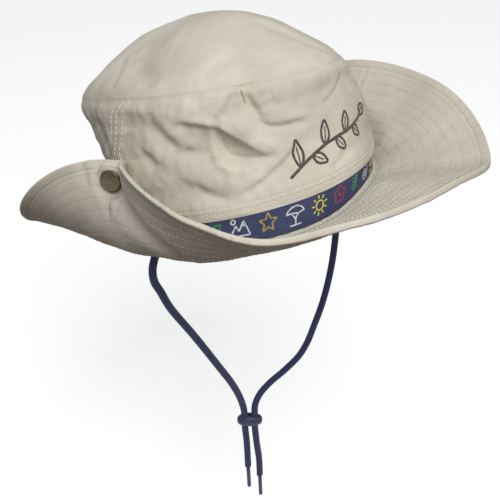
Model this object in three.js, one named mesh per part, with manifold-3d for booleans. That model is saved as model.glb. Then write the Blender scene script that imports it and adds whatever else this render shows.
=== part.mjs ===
// A cotton safari hat: soft crown with a domed tip, printed band, wide stitched brim that is snapped up
// at the wearer's right, and a chin cord with a slider. Millimetres. -Y is the front, +X the wearer's left.
import * as THREE from "three";
import { mergeVertices } from "three/addons/utils/BufferGeometryUtils.js";
import Module from "manifold-3d";

// Driving dimensions, in millimetres and degrees.
const wallThickness = 1.6;
const seamGap = 0.3;
const crownHeight = 87.5;
const domeHeight = 38.4;
const domeFullness = 1.84;
const apexLeft = 8.1;
const apexForward = 4.3;
const rimDropLeft = 7.6;
const rimRiseBack = 2.2;
const bandHeight = 16.5;
const bandThickness = 1;
const bandGap = 0.5;
const brimWidth = 75;
const brimThickness = 2.4;
const brimRootOffset = 1.9;
const hemWidth = 6.4;
const hemThickness = 3.6;
const crownMeanRadius = 88;
const foldsFrom = 30;
const openingReach = 50;
const foldEnds = 0.4;
const shoulderDistance = 1.5;
const wornTilt = 20.2;
const wornRoll = -2.7;
const cordDiameter = 5.5;
const cordSides = 10;
const cordStep = 12;
const tipDiameter = 3.4;
const tipLength = 25;
const sliderWidth = 18;
const sliderHeight = 10;
const sliderDepth = 9.6;
const strandSpacing = 8;
const sliderHole = 6.3;
const sliderTurn = -38;
const snapDiameter = 15;
const snapRise = 3.2;
const snapNeck = 1.5;
const snapSeat = 0.5;

// Sections of the crown's side wall, from the head opening up to the tip seam.
const crownSections = [
  { height: 0, halfLength: 95, halfWidth: 84.8, shiftLeft: 0, shiftBack: 0 },
  { height: 16.5, halfLength: 97.9, halfWidth: 82.8, shiftLeft: 2.2, shiftBack: -0.7 },
  { height: 32, halfLength: 99.8, halfWidth: 83, shiftLeft: 2.9, shiftBack: 0.4 },
  { height: 51, halfLength: 100.4, halfWidth: 82.4, shiftLeft: 4, shiftBack: 3.5 },
  { height: 69, halfLength: 100.9, halfWidth: 79.6, shiftLeft: 3.4, shiftBack: 6.2 },
  { height: 87.5, halfLength: 100.9, halfWidth: 72.9, shiftLeft: 3.8, shiftBack: 8.9 },
];

// The head opening isn't a true oval: where the brim curls up it is pressed in and lifted.
const openingShape = [
  { azimuth: -180, out: 0.2, rise: 0 },
  { azimuth: -120, out: -0.4, rise: -0.2 },
  { azimuth: -75, out: -0.8, rise: -0.5 },
  { azimuth: -40, out: -0.7, rise: -1.4 },
  { azimuth: -10, out: -1.4, rise: -2 },
  { azimuth: 20, out: -4.4, rise: 2.6 },
  { azimuth: 45, out: -4.5, rise: 4.3 },
  { azimuth: 65, out: -2.7, rise: 2.6 },
  { azimuth: 90, out: -1, rise: 0.9 },
  { azimuth: 130, out: 0, rise: 0.1 },
];

// The side seams that join the front and back halves of the crown, by height.
const sideSeams = [
  { height: 0, right: -90, left: 90 },
  { height: 60, right: -92.5, left: 90 },
  { height: 87.5, right: -89, left: 90 },
];

// Folds and swellings of the soft wall: a line from one place to another, a depth (negative is a
// hollow), a shoulder that rises along the fold's upper side, and the width over which both fade.
const wallFolds = [
  { fromAzimuth: -58, fromHeight: 76, toAzimuth: -43, toHeight: 67, depth: -3.2, shoulder: 2.2, width: 6 },
  { fromAzimuth: -43, fromHeight: 67, toAzimuth: -28, toHeight: 48, depth: -4.2, shoulder: 2.6, width: 7 },
  { fromAzimuth: -42, fromHeight: 63, toAzimuth: -39, toHeight: 47, depth: -3.4, shoulder: 0, width: 6 },
  { fromAzimuth: -71, fromHeight: 78, toAzimuth: -60, toHeight: 60, depth: -2.8, shoulder: 1.6, width: 6 },
  { fromAzimuth: -60, fromHeight: 60, toAzimuth: -44, toHeight: 56, depth: -2.4, shoulder: 1.4, width: 6 },
  { fromAzimuth: -77, fromHeight: 59, toAzimuth: -71, toHeight: 53, depth: -2, shoulder: 1, width: 5 },
  { fromAzimuth: -62, fromHeight: 39, toAzimuth: -40, toHeight: 27, depth: -2.6, shoulder: 1.8, width: 7 },
  { fromAzimuth: -26, fromHeight: 66, toAzimuth: -13, toHeight: 61, depth: -1.8, shoulder: 1.2, width: 6 },
  { fromAzimuth: 2, fromHeight: 64, toAzimuth: 21, toHeight: 77, depth: -2, shoulder: 1.4, width: 7 },
  { fromAzimuth: -29, fromHeight: 86, toAzimuth: -39, toHeight: 70, depth: -2.2, shoulder: 0, width: 6 },
  { fromAzimuth: -28, fromHeight: 84, toAzimuth: -24, toHeight: 62, depth: -2.2, shoulder: 0, width: 6 },
  { fromAzimuth: -106, fromHeight: 78, toAzimuth: -102, toHeight: 54, depth: -2.4, shoulder: 0, width: 6 },
  { fromAzimuth: -90, fromHeight: 54, toAzimuth: -88, toHeight: 34, depth: 4.4, shoulder: 0, width: 19 },
  { fromAzimuth: -132, fromHeight: 85, toAzimuth: -104, toHeight: 85, depth: 6, shoulder: 0, width: 14 },
  { fromAzimuth: 62, fromHeight: 70, toAzimuth: 84, toHeight: 52, depth: -2.6, shoulder: 1.6, width: 8 },
  { fromAzimuth: 112, fromHeight: 58, toAzimuth: 138, toHeight: 66, depth: -2.4, shoulder: 1.5, width: 8 },
  { fromAzimuth: 170, fromHeight: 40, toAzimuth: 196, toHeight: 52, depth: -2.4, shoulder: 1.6, width: 8 },
  { fromAzimuth: -150, fromHeight: 68, toAzimuth: -128, toHeight: 58, depth: -2.2, shoulder: 1.4, width: 8 },
];

// Slope of the brim at its root and at its edge, round the head: 0 lies flat, 90 stands upright. Most of
// the bend is near the root, where the brim is folded up, and the rest of the cloth runs out straighter.
const brimFold = 2.2;
const brimSlopes = [
  { azimuth: -180, root: 3, edge: -0.9 },
  { azimuth: -150, root: -2.1, edge: 11.6 },
  { azimuth: -125, root: 1.4, edge: 48 },
  { azimuth: -105, root: 9.6, edge: 101.8 },
  { azimuth: -90, root: 8, edge: 129.6 },
  { azimuth: -75, root: 4.2, edge: 111.6 },
  { azimuth: -55, root: -15.5, edge: 79.3 },
  { azimuth: -35, root: -4.5, edge: 32.3 },
  { azimuth: -15, root: 4.2, edge: 19.1 },
  { azimuth: 10, root: 6.8, edge: 7.6 },
  { azimuth: 40, root: 3.2, edge: -8 },
  { azimuth: 70, root: 25, edge: 27.6 },
  { azimuth: 100, root: 43.5, edge: 51 },
  { azimuth: 130, root: 19.5, edge: 19.3 },
  { azimuth: 155, root: 5.8, edge: 0.2 },
];
const brimSeams = { right: -86, left: 90 };

// Where the snap sits on the brim, and where the cord is sewn inside the crown.
const snapAzimuth = -89.5;
const snapDistance = 60;
const studDiameter = 6.5;
const studMargin = 2.4;
const tabInset = { right: 5.8, left: 3.2 };
const tabSize = { thick: 5.2, wide: 12, high: 9, lift: 1.2 };

// The chin cord's two strands hang from the tabs, meet in the slider and end in slim tips.
const rightStrand = [
  [-78.8, -2.4, -10.5], [-82.3, -2.6, -20], [-81.8, -2.1, -30.5], [-77.2, -1.7, -42], [-70.9, -1.1, -57.9],
  [-51.6, 0.3, -94], [-29.1, 1.9, -138], [-18.2, 2.8, -159.8], [-9.6, 4.7, -180.2],
  [-4.5, 6.4, -197], [-3.15, 6.96, -207], [-3.15, 6.96, -219], [-2.4, 6.3, -235], [-1.9, 5.9, -264],
];
const leftStrand = [
  [84.3, 0.2, -16], [84.6, -1, -40], [79.5, -3, -85], [69, -5, -118], [57.5, -5.8, -141],
  [52, -6, -151], [43.8, -5.2, -161.4], [30.2, -3.4, -170], [17.6, -0.6, -177.6], [9, 1.3, -185.4],
  [4.5, 2.4, -194.8], [3.15, 2.04, -206], [3.15, 2.04, -218], [4.6, 1.7, -239], [6.4, 1.3, -258], [6.8, 1.2, -276.6],
];
const sliderCentre = [0, 4.5, -211];

const colours = {
  cloth: 0xcfc8b8,
  hem: 0xd3cdbd,
  band: 0x34406a,
  cord: 0x2f344e,
  slider: 0x2b3048,
  brass: 0x6b5a3c,
};

const radians = (degrees) => (degrees * Math.PI) / 180;

// The value in one column of a table, on a smooth curve through its rows. A period joins the ends.
function tableValue(rows, key, column, at, period = 0) {
  const rowAt = (index) => {
    if (!period) {
      const row = rows[Math.min(Math.max(index, 0), rows.length - 1)];
      return [row[key], row[column]];
    }
    const laps = Math.floor(index / rows.length);
    const row = rows[index - laps * rows.length];
    return [row[key] + laps * period, row[column]];
  };
  let place = at;
  if (period) place = at - period * Math.floor((at - rows[0][key]) / period);
  let first = rows.length - 1;
  while (first > 0 && rows[first][key] > place) first -= 1;
  if (!period) first = Math.min(first, rows.length - 2);
  const [x0, y0] = rowAt(first - 1);
  const [x1, y1] = rowAt(first);
  const [x2, y2] = rowAt(first + 1);
  const [x3, y3] = rowAt(first + 2);
  const span = x2 - x1;
  const t = (place - x1) / span;
  const slope1 = ((y2 - y0) / (x2 - x0)) * span;
  const slope2 = ((y3 - y1) / (x3 - x1)) * span;
  return y1 * (1 + 2 * t) * (1 - t) ** 2 + y2 * t * t * (3 - 2 * t)
    + slope1 * t * (1 - t) ** 2 - slope2 * t * t * (1 - t);
}

// How far the folds and swellings push the wall out at one place.
function foldRise(azimuth, height) {
  const mmPerDegree = radians(crownMeanRadius);
  let rise = 0;
  for (const fold of wallFolds) {
    const middle = (fold.fromAzimuth + fold.toAzimuth) / 2;
    const near = azimuth - 360 * Math.round((azimuth - middle) / 360);
    const point = new THREE.Vector2(near * mmPerDegree, height);
    const from = new THREE.Vector2(fold.fromAzimuth * mmPerDegree, fold.fromHeight);
    const to = new THREE.Vector2(fold.toAzimuth * mmPerDegree, fold.toHeight);
    const line = to.clone().sub(from);
    const share = THREE.MathUtils.clamp(point.clone().sub(from).dot(line) / line.lengthSq(), 0, 1);
    const offset = point.clone().sub(from.clone().addScaledVector(line, share));
    const distance = offset.length() / fold.width;
    const fade = foldEnds + (1 - foldEnds) * Math.sin(Math.PI * share);
    rise += fold.depth * fade * Math.exp(-distance * distance);
    const above = distance - shoulderDistance;
    if (offset.y > 0) rise += fold.shoulder * fade * Math.exp(-above * above);
  }
  return rise;
}

// How far the head opening is pressed out or lifted at an azimuth.
const opening = (azimuth, column) => tableValue(openingShape, "azimuth", column, azimuth, 360);

// A point of the crown's side wall, by azimuth (0 is the front) and height, moved out by so much.
function wallPoint(azimuth, height, out = 0) {
  const column = (name) => tableValue(crownSections, "height", name, height);
  const halfLength = column("halfLength");
  const halfWidth = column("halfWidth");
  const across = Math.sin(radians(azimuth));
  const along = -Math.cos(radians(azimuth));
  const normal = new THREE.Vector2(across / halfWidth, along / halfLength).normalize();
  const free = THREE.MathUtils.smoothstep(height, bandHeight, foldsFrom);
  const pressed = 1 - THREE.MathUtils.smoothstep(height, 0, openingReach);
  const push = out + foldRise(azimuth, height) * free + opening(azimuth, "out") * pressed;
  const lean = (height / crownHeight) ** 3;
  const lifted = Math.max(1 - height / bandHeight, 0) * opening(azimuth, "rise");
  return new THREE.Vector3(
    halfWidth * across + column("shiftLeft") + normal.x * push,
    halfLength * along + column("shiftBack") + normal.y * push,
    height + lean * (rimRiseBack * along - rimDropLeft * across) + lifted,
  );
}

// A point of the domed tip: share 1 is its seam, 0 its middle.
function tipPoint(azimuth, share, inset = 0) {
  const rim = wallPoint(azimuth, crownHeight, -inset);
  const middle = new THREE.Vector3(
    tableValue(crownSections, "height", "shiftLeft", crownHeight),
    tableValue(crownSections, "height", "shiftBack", crownHeight),
    crownHeight,
  );
  const point = middle.clone().lerp(rim, share);
  point.x += apexLeft * (1 - share * share);
  point.y -= apexForward * (1 - share * share);
  point.z += (domeHeight - inset) * (1 - share ** domeFullness);
  return point;
}

// A point of the brim: its distance out from the root along the cloth, and its height over mid-cloth.
function brimPoint(azimuth, distance, over = 0) {
  const root = tableValue(brimSlopes, "azimuth", "root", azimuth, 360);
  const edge = tableValue(brimSlopes, "azimuth", "edge", azimuth, 360);
  const slopeAt = (run) => radians(edge - (edge - root) * Math.abs(1 - run / brimWidth) ** brimFold);
  const parts = 24;
  let out = brimRootOffset + opening(azimuth, "out");
  let up = -brimThickness / 2 + opening(azimuth, "rise");
  for (let part = 0; part < parts; part += 1) {
    const slope = slopeAt(((part + 0.5) / parts) * distance);
    out += (Math.cos(slope) * distance) / parts;
    up += (Math.sin(slope) * distance) / parts;
  }
  out -= over * Math.sin(slopeAt(distance));
  up += over * Math.cos(slopeAt(distance));
  const base = crownSections[0];
  const across = Math.sin(radians(azimuth));
  const along = -Math.cos(radians(azimuth));
  const normal = new THREE.Vector2(across / base.halfWidth, along / base.halfLength).normalize();
  return new THREE.Vector3(
    base.halfWidth * across + normal.x * out,
    base.halfLength * along + normal.y * out,
    up,
  );
}

// A closed body from a grid of sections, each a ring of points. A loop joins the last to the first.
function ringBody(sections, loop) {
  const positions = sections.flat().flatMap((point) => [point.x, point.y, point.z]);
  const size = sections[0].length;
  const count = sections.length;
  const index = [];
  const corner = (section, place) => (section % count) * size + (place % size);
  for (let section = 0; section < (loop ? count : count - 1); section += 1) {
    for (let place = 0; place < size; place += 1) {
      const a = corner(section, place);
      const b = corner(section + 1, place);
      const c = corner(section + 1, place + 1);
      const d = corner(section, place + 1);
      index.push(a, b, c, a, c, d);
    }
  }
  if (!loop) {
    const rows = size / 2;
    for (let place = 0; place < rows - 1; place += 1) {
      const far = size - 1 - place;
      index.push(corner(0, place), corner(0, place + 1), corner(0, far));
      index.push(corner(0, place + 1), corner(0, far - 1), corner(0, far));
      const last = count - 1;
      index.push(corner(last, place + 1), corner(last, place), corner(last, far));
      index.push(corner(last, far - 1), corner(last, place + 1), corner(last, far));
    }
  }
  return facingOut(positions, index);
}

// Merges equal points, drops empty triangles and turns all faces outward.
function facingOut(positions, index) {
  let geometry = new THREE.BufferGeometry();
  geometry.setAttribute("position", new THREE.Float32BufferAttribute(positions, 3));
  geometry.setIndex(index);
  geometry = mergeVertices(geometry, 1e-4);
  const place = geometry.getAttribute("position");
  const corner = (number) => new THREE.Vector3().fromBufferAttribute(place, number);
  const kept = [];
  let volume = 0;
  for (let i = 0; i < geometry.index.count; i += 3) {
    const [a, b, c] = [0, 1, 2].map((step) => geometry.index.getX(i + step));
    if (a === b || b === c || a === c) continue;
    kept.push([a, b, c]);
    volume += corner(a).dot(corner(b).cross(corner(c)));
  }
  geometry.setIndex(kept.flatMap(([a, b, c]) => (volume > 0 ? [a, b, c] : [a, c, b])));
  geometry.computeVertexNormals();
  return geometry;
}

const steps = (count, from, to) =>
  Array.from({ length: count + 1 }, (_, step) => from + ((to - from) * step) / count);

// Half of the crown's side wall, between the two side seams.
function crownPanelGeometry(columns, rows, back) {
  const clearance = 0.12;
  const top = crownHeight - seamGap;
  const seamAt = (height) => {
    const right = tableValue(sideSeams, "height", "right", height);
    const left = tableValue(sideSeams, "height", "left", height);
    return back ? [left + clearance, right + 360 - clearance] : [right + clearance, left - clearance];
  };
  const sections = steps(columns, 0, 1).map((share) => {
    const place = (height, out) => {
      const [from, to] = seamAt(height);
      return wallPoint(from + (to - from) * share, height, out);
    };
    const outside = steps(rows, 0, top).map((height) => place(height, 0));
    const inside = steps(rows, top, 0).map((height) => place(height, -wallThickness));
    return [...outside, ...inside];
  });
  return ringBody(sections, false);
}

function crownTipGeometry(columns, rings) {
  const sections = steps(columns, -180, 180).slice(0, -1).map((azimuth) => {
    const shares = steps(rings, 1, 0).map((share) => share ** 0.8);
    const outside = shares.map((share) => tipPoint(azimuth, share));
    const inside = shares.map((share) => tipPoint(azimuth, share, wallThickness)).reverse();
    return [...outside, ...inside];
  });
  return ringBody(sections, true);
}

function bandGeometry(columns) {
  const low = 2 * seamGap;
  const sections = steps(columns, -180, 180).slice(0, -1).map((azimuth) => [
    wallPoint(azimuth, low, bandGap),
    wallPoint(azimuth, low, bandGap + bandThickness),
    wallPoint(azimuth, bandHeight / 2, bandGap + bandThickness),
    wallPoint(azimuth, bandHeight, bandGap + bandThickness),
    wallPoint(azimuth, bandHeight, bandGap),
    wallPoint(azimuth, bandHeight / 2, bandGap),
  ]);
  return ringBody(sections, true);
}

// Half of the brim, from its root to the turned hem.
function brimPanelGeometry(columns, rows, from, to) {
  const clearance = 0.1;
  const outer = brimWidth - hemWidth - seamGap;
  const sections = steps(columns, from + clearance, to - clearance).map((azimuth) => {
    const upper = steps(rows, 0, outer).map((distance) => brimPoint(azimuth, distance, brimThickness / 2));
    const under = steps(rows, outer, 0).map((distance) => brimPoint(azimuth, distance, -brimThickness / 2));
    return [...upper, ...under];
  });
  return ringBody(sections, false);
}

// The brim's edge is folded twice into a thicker hem with rounded sides.
function brimHemGeometry(columns) {
  const half = hemThickness / 2;
  const start = brimWidth - hemWidth;
  const outline = [
    [start, -half * 0.75], [start + 1.6, -half], [brimWidth - 1.6, -half], [brimWidth, -half * 0.3],
    [brimWidth, half * 0.3], [brimWidth - 1.6, half], [start + 1.6, half], [start, half * 0.75],
  ];
  const sections = steps(columns, -180, 180).slice(0, -1).map((azimuth) =>
    outline.map(([distance, over]) => brimPoint(azimuth, distance, over)));
  return ringBody(sections, true);
}

// A tube along a smooth curve, with flat ends.
function tubeGeometry(points, diameter) {
  const curve = new THREE.CatmullRomCurve3(points);
  const outline = steps(cordSides, 0, Math.PI * 2).slice(0, -1).map((angle) =>
    new THREE.Vector2(Math.cos(angle), Math.sin(angle)).multiplyScalar(diameter / 2));
  const count = Math.max(2, Math.round(curve.getLength() / cordStep));
  const tube = new THREE.ExtrudeGeometry(new THREE.Shape(outline), {
    steps: count, extrudePath: curve, bevelEnabled: false,
  });
  tube.deleteAttribute("normal");
  tube.deleteAttribute("uv");
  return mergeVertices(tube, 1e-4);
}

// A turned piece: its profile is given as radius and height, and starts and ends on the axis.
function turned(profile, sides) {
  const lathe = new THREE.LatheGeometry(profile.map(([r, h]) => new THREE.Vector2(r, h)), sides);
  lathe.deleteAttribute("normal");
  lathe.deleteAttribute("uv");
  const merged = mergeVertices(lathe, 1e-4);
  return facingOut([...merged.getAttribute("position").array], [...merged.index.array]);
}

function boxGeometry(wide, deep, high) {
  const box = new THREE.BoxGeometry(wide, deep, high);
  box.deleteAttribute("normal");
  box.deleteAttribute("uv");
  return mergeVertices(box, 1e-4);
}

const wasm = await Module();
wasm.setup();

function toSolid(geometry) {
  return new wasm.Manifold(new wasm.Mesh({
    numProp: 3,
    vertProperties: Float32Array.from(geometry.getAttribute("position").array),
    triVerts: Uint32Array.from(geometry.index.array),
  }));
}

function fromSolid(solid) {
  const mesh = solid.getMesh();
  return facingOut([...mesh.vertProperties], [...mesh.triVerts]);
}

// The slider is a rounded barrel with a hole for each strand.
function sliderGeometry() {
  const round = steps(8, -90, 90).map((angle) => {
    const across = Math.cos(radians(angle)) ** 0.7;
    return [Math.max(across, 0), Math.sin(radians(angle))];
  });
  round[0][0] = 0;
  round[round.length - 1][0] = 0;
  const body = turned(round, 20);
  body.rotateZ(Math.PI / 2);
  body.scale(sliderWidth / 2, sliderDepth / 2, sliderHeight / 2);
  let solid = toSolid(body);
  for (const side of [-1, 1]) {
    const hole = turned([[0, -10], [sliderHole / 2, -10], [sliderHole / 2, 10], [0, 10]], 14);
    hole.rotateX(Math.PI / 2);
    hole.translate((side * strandSpacing) / 2, 0, 0);
    solid = solid.subtract(toSolid(hole));
  }
  return fromSolid(solid);
}

// How far the snap's stud can run inward before it meets the crown's wall.
function studLength(from, direction) {
  const step = 0.1;
  let reach = 0;
  const clear = (point) => {
    const azimuth = (Math.atan2(point.x, -point.y) * 180) / Math.PI;
    const wall = wallPoint(azimuth, point.z);
    return Math.hypot(point.x, point.y) - Math.hypot(wall.x, wall.y);
  };
  while (clear(from.clone().addScaledVector(direction, reach)) > studMargin) reach += step;
  return reach;
}

const group = new THREE.Group();
const worn = new THREE.Group();
worn.rotation.set(radians(-wornTilt), radians(wornRoll), 0);
group.add(worn);

function addPiece(parent, name, geometry, colour, roughness = 0.9, metalness = 0) {
  const material = new THREE.MeshStandardMaterial({ color: colour, roughness, metalness });
  const piece = new THREE.Mesh(geometry, material);
  piece.name = name;
  parent.add(piece);
  return piece;
}

addPiece(worn, "crown_front_panel", crownPanelGeometry(42, 13, false), colours.cloth);
addPiece(worn, "crown_back_panel", crownPanelGeometry(30, 9, true), colours.cloth);
addPiece(worn, "crown_tip", crownTipGeometry(48, 6), colours.cloth);
addPiece(worn, "hat_band", bandGeometry(60), colours.band);
addPiece(worn, "brim_front", brimPanelGeometry(38, 7, brimSeams.right, brimSeams.left), colours.cloth);
addPiece(worn, "brim_back", brimPanelGeometry(38, 7, brimSeams.left, brimSeams.right + 360), colours.cloth);
addPiece(worn, "brim_hem", brimHemGeometry(84), colours.hem);

// The snap: a domed cap outside the brim, and its plain stud between the brim and the crown.
const snapAt = brimPoint(snapAzimuth, snapDistance, -brimThickness / 2 - snapSeat);
const snapAxis = snapAt.clone().sub(brimPoint(snapAzimuth, snapDistance, 0)).normalize();
const snapTurn = new THREE.Quaternion().setFromUnitVectors(new THREE.Vector3(0, 1, 0), snapAxis);
const capRadius = snapDiameter / 2;
const capProfile = [
  [0, 0], [studDiameter / 2, 0], [studDiameter / 2, snapNeck], [capRadius - 0.8, snapNeck],
  [capRadius, snapNeck + 0.6], [capRadius - 0.5, snapNeck + 1.5], [capRadius - 1.7, snapNeck + 1.7],
  [capRadius - 2.4, snapNeck + 1.4], [capRadius / 2, snapNeck + snapRise - 1], [0, snapNeck + snapRise - 0.7],
];
const snapCap = addPiece(worn, "snap_cap", turned(capProfile, 28), colours.brass, 0.35, 1);
snapCap.quaternion.copy(snapTurn);
snapCap.position.copy(snapAt);

// The stud runs from the brim's upper face in to the crown.
const studFrom = brimPoint(snapAzimuth, snapDistance, brimThickness / 2 + seamGap);
const inward = snapAxis.clone().negate();
const studReach = studLength(studFrom, inward);
const studProfile = [[0, 0], [studDiameter / 2, 0], [studDiameter / 2, studReach], [0, studReach]];
const stud = addPiece(worn, "snap_stud", turned(studProfile, 20), colours.brass, 0.35, 1);
stud.quaternion.setFromUnitVectors(new THREE.Vector3(0, 1, 0), inward);
stud.position.copy(studFrom);

// Sewn tabs inside the crown, at its side seams, hold the cord's ends.
const strands = [
  { side: "right", sign: -1, route: rightStrand },
  { side: "left", sign: 1, route: leftStrand },
];
for (const { side, sign, route } of strands) {
  const wall = crownSections[0].halfWidth - tabInset[side];
  const tab = addPiece(worn, `cord_tab_${side}`, boxGeometry(tabSize.thick, tabSize.wide, tabSize.high),
    colours.cord);
  const centre = sign * (wall - tabSize.thick / 2);
  tab.position.set(centre, 0, tabSize.lift + tabSize.high / 2);
  const start = new THREE.Vector3(centre, 0, tabSize.lift - seamGap).applyEuler(worn.rotation);
  const below = new THREE.Vector3(centre, 0, tabSize.lift - seamGap - 4).applyEuler(worn.rotation);
  const points = [start, below, ...route.map(([x, y, z]) => new THREE.Vector3(x, y, z))];
  addPiece(group, `chin_cord_${side}`, tubeGeometry(points, cordDiameter), colours.cord);
  const last = points[points.length - 1];
  const before = points[points.length - 2];
  const down = last.clone().sub(before).normalize();
  const radius = tipDiameter / 2;
  const profile = [[0, 0], [radius, 0], [radius, tipLength - 1], [radius - 0.6, tipLength], [0, tipLength]];
  const tip = addPiece(group, `cord_tip_${side}`, turned(profile, 12), colours.slider, 0.4);
  tip.quaternion.setFromUnitVectors(new THREE.Vector3(0, 1, 0), down);
  tip.position.copy(last).addScaledVector(down, seamGap);
}

const slider = addPiece(group, "cord_slider", sliderGeometry(), colours.slider, 0.45);
slider.position.set(...sliderCentre);
slider.rotation.z = radians(sliderTurn);

export default group;
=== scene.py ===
# A cotton safari hat with its brim snapped up at the wearer's right, and a navy chin cord.
# Tables and sizes are in millimetres in the hat's own frame: -Y is its front, +X the wearer's left,
# azimuth 0 the front and 90 the left. Meshes are turned to the worn tilt and made in metres.
import math

import bmesh
import bpy
import numpy as np
from mathutils import Matrix, Vector


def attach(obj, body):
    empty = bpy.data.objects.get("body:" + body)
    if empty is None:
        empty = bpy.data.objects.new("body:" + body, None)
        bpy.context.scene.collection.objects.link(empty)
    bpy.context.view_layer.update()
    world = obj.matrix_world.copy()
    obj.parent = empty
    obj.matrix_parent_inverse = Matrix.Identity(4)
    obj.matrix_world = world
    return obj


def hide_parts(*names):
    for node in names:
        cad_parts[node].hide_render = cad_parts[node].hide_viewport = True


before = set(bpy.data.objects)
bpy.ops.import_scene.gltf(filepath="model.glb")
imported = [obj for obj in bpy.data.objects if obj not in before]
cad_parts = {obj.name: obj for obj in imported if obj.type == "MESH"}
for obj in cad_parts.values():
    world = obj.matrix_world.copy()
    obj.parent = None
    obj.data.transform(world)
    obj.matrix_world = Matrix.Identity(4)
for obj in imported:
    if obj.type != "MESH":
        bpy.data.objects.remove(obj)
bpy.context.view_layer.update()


# The camera stands at the wearer's right front, a little over half a metre off, and looks down on the
# crown at 34 degrees.
view_from = Vector((-0.3436, -0.4361, 0.3305))
view_turn = math.radians(-38.28)
view_drop = math.radians(33.92)
view_roll = math.radians(-1.26)
camera_data = bpy.data.cameras.new("camera")
camera_data.sensor_width = 36
camera_data.lens = 67.9
camera = bpy.data.objects.new("camera", camera_data)
camera.matrix_world = (
    Matrix.Translation(view_from)
    @ Matrix.Rotation(view_turn, 4, "Z")
    @ Matrix.Rotation(math.pi / 2 - view_drop, 4, "X")
    @ Matrix.Rotation(view_roll, 4, "Z")
)
bpy.context.scene.collection.objects.link(camera)
bpy.context.scene.camera = camera


# The chin cord is one navy braided cord, 5.5 mm across, sewn to a tab inside the crown at each side.
# Its two strands hang down, run through the slider and end in slim moulded tips.
cord_width = 5.5
cord_thickness = 5.0
braid_carriers = 6
braid_pitch = 15.0
braid_relief = 0.2
route_step = 0.6
worn_tilt = math.radians(20.2)
worn_roll = math.radians(-2.7)
worn_turn = np.array(Matrix.Rotation(-worn_tilt, 3, "X") @ Matrix.Rotation(worn_roll, 3, "Y"))

right_strand = [
    (-78.8, -2.4, -10.5), (-82.3, -2.6, -20), (-81.8, -2.1, -30.5), (-77.2, -1.7, -42),
    (-70.9, -1.1, -57.9), (-51.6, 0.3, -94), (-29.1, 1.9, -138), (-18.2, 2.8, -159.8),
    (-9.6, 4.7, -180.2), (-4.5, 6.4, -197), (-3.15, 6.96, -207), (-3.15, 6.96, -219),
    (-2.4, 6.3, -235), (-1.9, 5.9, -264),
]
left_strand = [
    (84.3, 0.2, -16), (84.6, -1, -40), (79.5, -3, -85), (69, -5, -118), (57.5, -5.8, -141),
    (52, -6, -151), (43.8, -5.2, -161.4), (30.2, -3.4, -170), (17.6, -0.6, -177.6),
    (9, 1.3, -185.4), (4.5, 2.4, -194.8), (3.15, 2.04, -206), (3.15, 2.04, -218), (4.6, 1.7, -239),
    (6.4, 1.3, -258), (6.8, 1.2, -276.6),
]
tab_inset = {"right": 5.8, "left": 3.2}
tab_size = {"thick": 5.2, "wide": 12.0, "high": 9.0, "lift": 1.2}
opening_half_width = 84.8
cord_clearance = 0.3


def as_worn(points):
    """Points of the hat's own frame, turned to the worn tilt."""
    return np.asarray(points, float) @ worn_turn.T


def unit(vectors):
    """The same directions at length one."""
    return vectors / np.linalg.norm(vectors, axis=-1, keepdims=True)


def spread(*parts):
    """Arrays drawn out to one shape, as the coordinates of points."""
    return np.stack(np.broadcast_arrays(*parts), axis=-1)


def run_along(points):
    """How far along a line each of its points lies."""
    return np.concatenate([[0], np.cumsum(np.linalg.norm(np.diff(points, axis=0), axis=1))])


def sampled(places, run, values):
    """The values of a line's points at other places along it."""
    return np.stack([np.interp(places, run, column) for column in np.asarray(values).T], axis=1)


def smooth_route(points, spacing):
    """Points at equal steps on a smooth curve through the given ones."""
    points = np.asarray(points, float)
    ends = np.vstack([2 * points[0] - points[1], points, 2 * points[-1] - points[-2]])
    route = []
    for a, b, c, d in zip(ends, ends[1:], ends[2:], ends[3:]):
        knots = np.cumsum([0] + [math.sqrt(np.linalg.norm(q - p)) for p, q in ((a, b), (b, c), (c, d))])
        for t in np.linspace(knots[1], knots[2], 24, endpoint=False):
            ab = a + (b - a) * (t - knots[0]) / (knots[1] - knots[0])
            bc = b + (c - b) * (t - knots[1]) / (knots[2] - knots[1])
            cd = c + (d - c) * (t - knots[2]) / (knots[3] - knots[2])
            abc = ab + (bc - ab) * (t - knots[0]) / (knots[2] - knots[0])
            bcd = bc + (cd - bc) * (t - knots[1]) / (knots[3] - knots[1])
            route.append(abc + (bcd - abc) * (t - knots[1]) / (knots[2] - knots[1]))
    route = np.vstack([route, points[-1]])
    run = run_along(route)
    count = max(2, round(run[-1] / spacing))
    return sampled(np.linspace(0, run[-1], count + 1), run, route), run[-1]


def carry_frames(route, first_side):
    """Directions across and over a route, with no twist."""
    along = unit(np.gradient(route, axis=0))
    across = np.zeros_like(route)
    side = np.asarray(first_side, float)
    for place, direction in enumerate(along):
        side = unit(side - direction * side.dot(direction))
        across[place] = side
    return across, np.cross(along, across)


def mesh_object(name, points, faces, places=None):
    """A smooth-shaded mesh in metres. places holds a cloth coordinate for each corner of each face."""
    mesh = bpy.data.meshes.new(name)
    mesh.from_pydata((np.asarray(points) * 0.001).tolist(), [], faces)
    if places is not None:
        layer = mesh.uv_layers.new(name="cloth")
        layer.data.foreach_set("uv", np.asarray(places, np.float32).ravel())
    work = bmesh.new()
    work.from_mesh(mesh)
    bmesh.ops.recalc_face_normals(work, faces=work.faces)
    work.to_mesh(mesh)
    work.free()
    mesh.shade_smooth()
    mesh.set_sharp_from_angle(angle=math.radians(48))
    piece = bpy.data.objects.new(name, mesh)
    bpy.context.scene.collection.objects.link(piece)
    return piece


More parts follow.
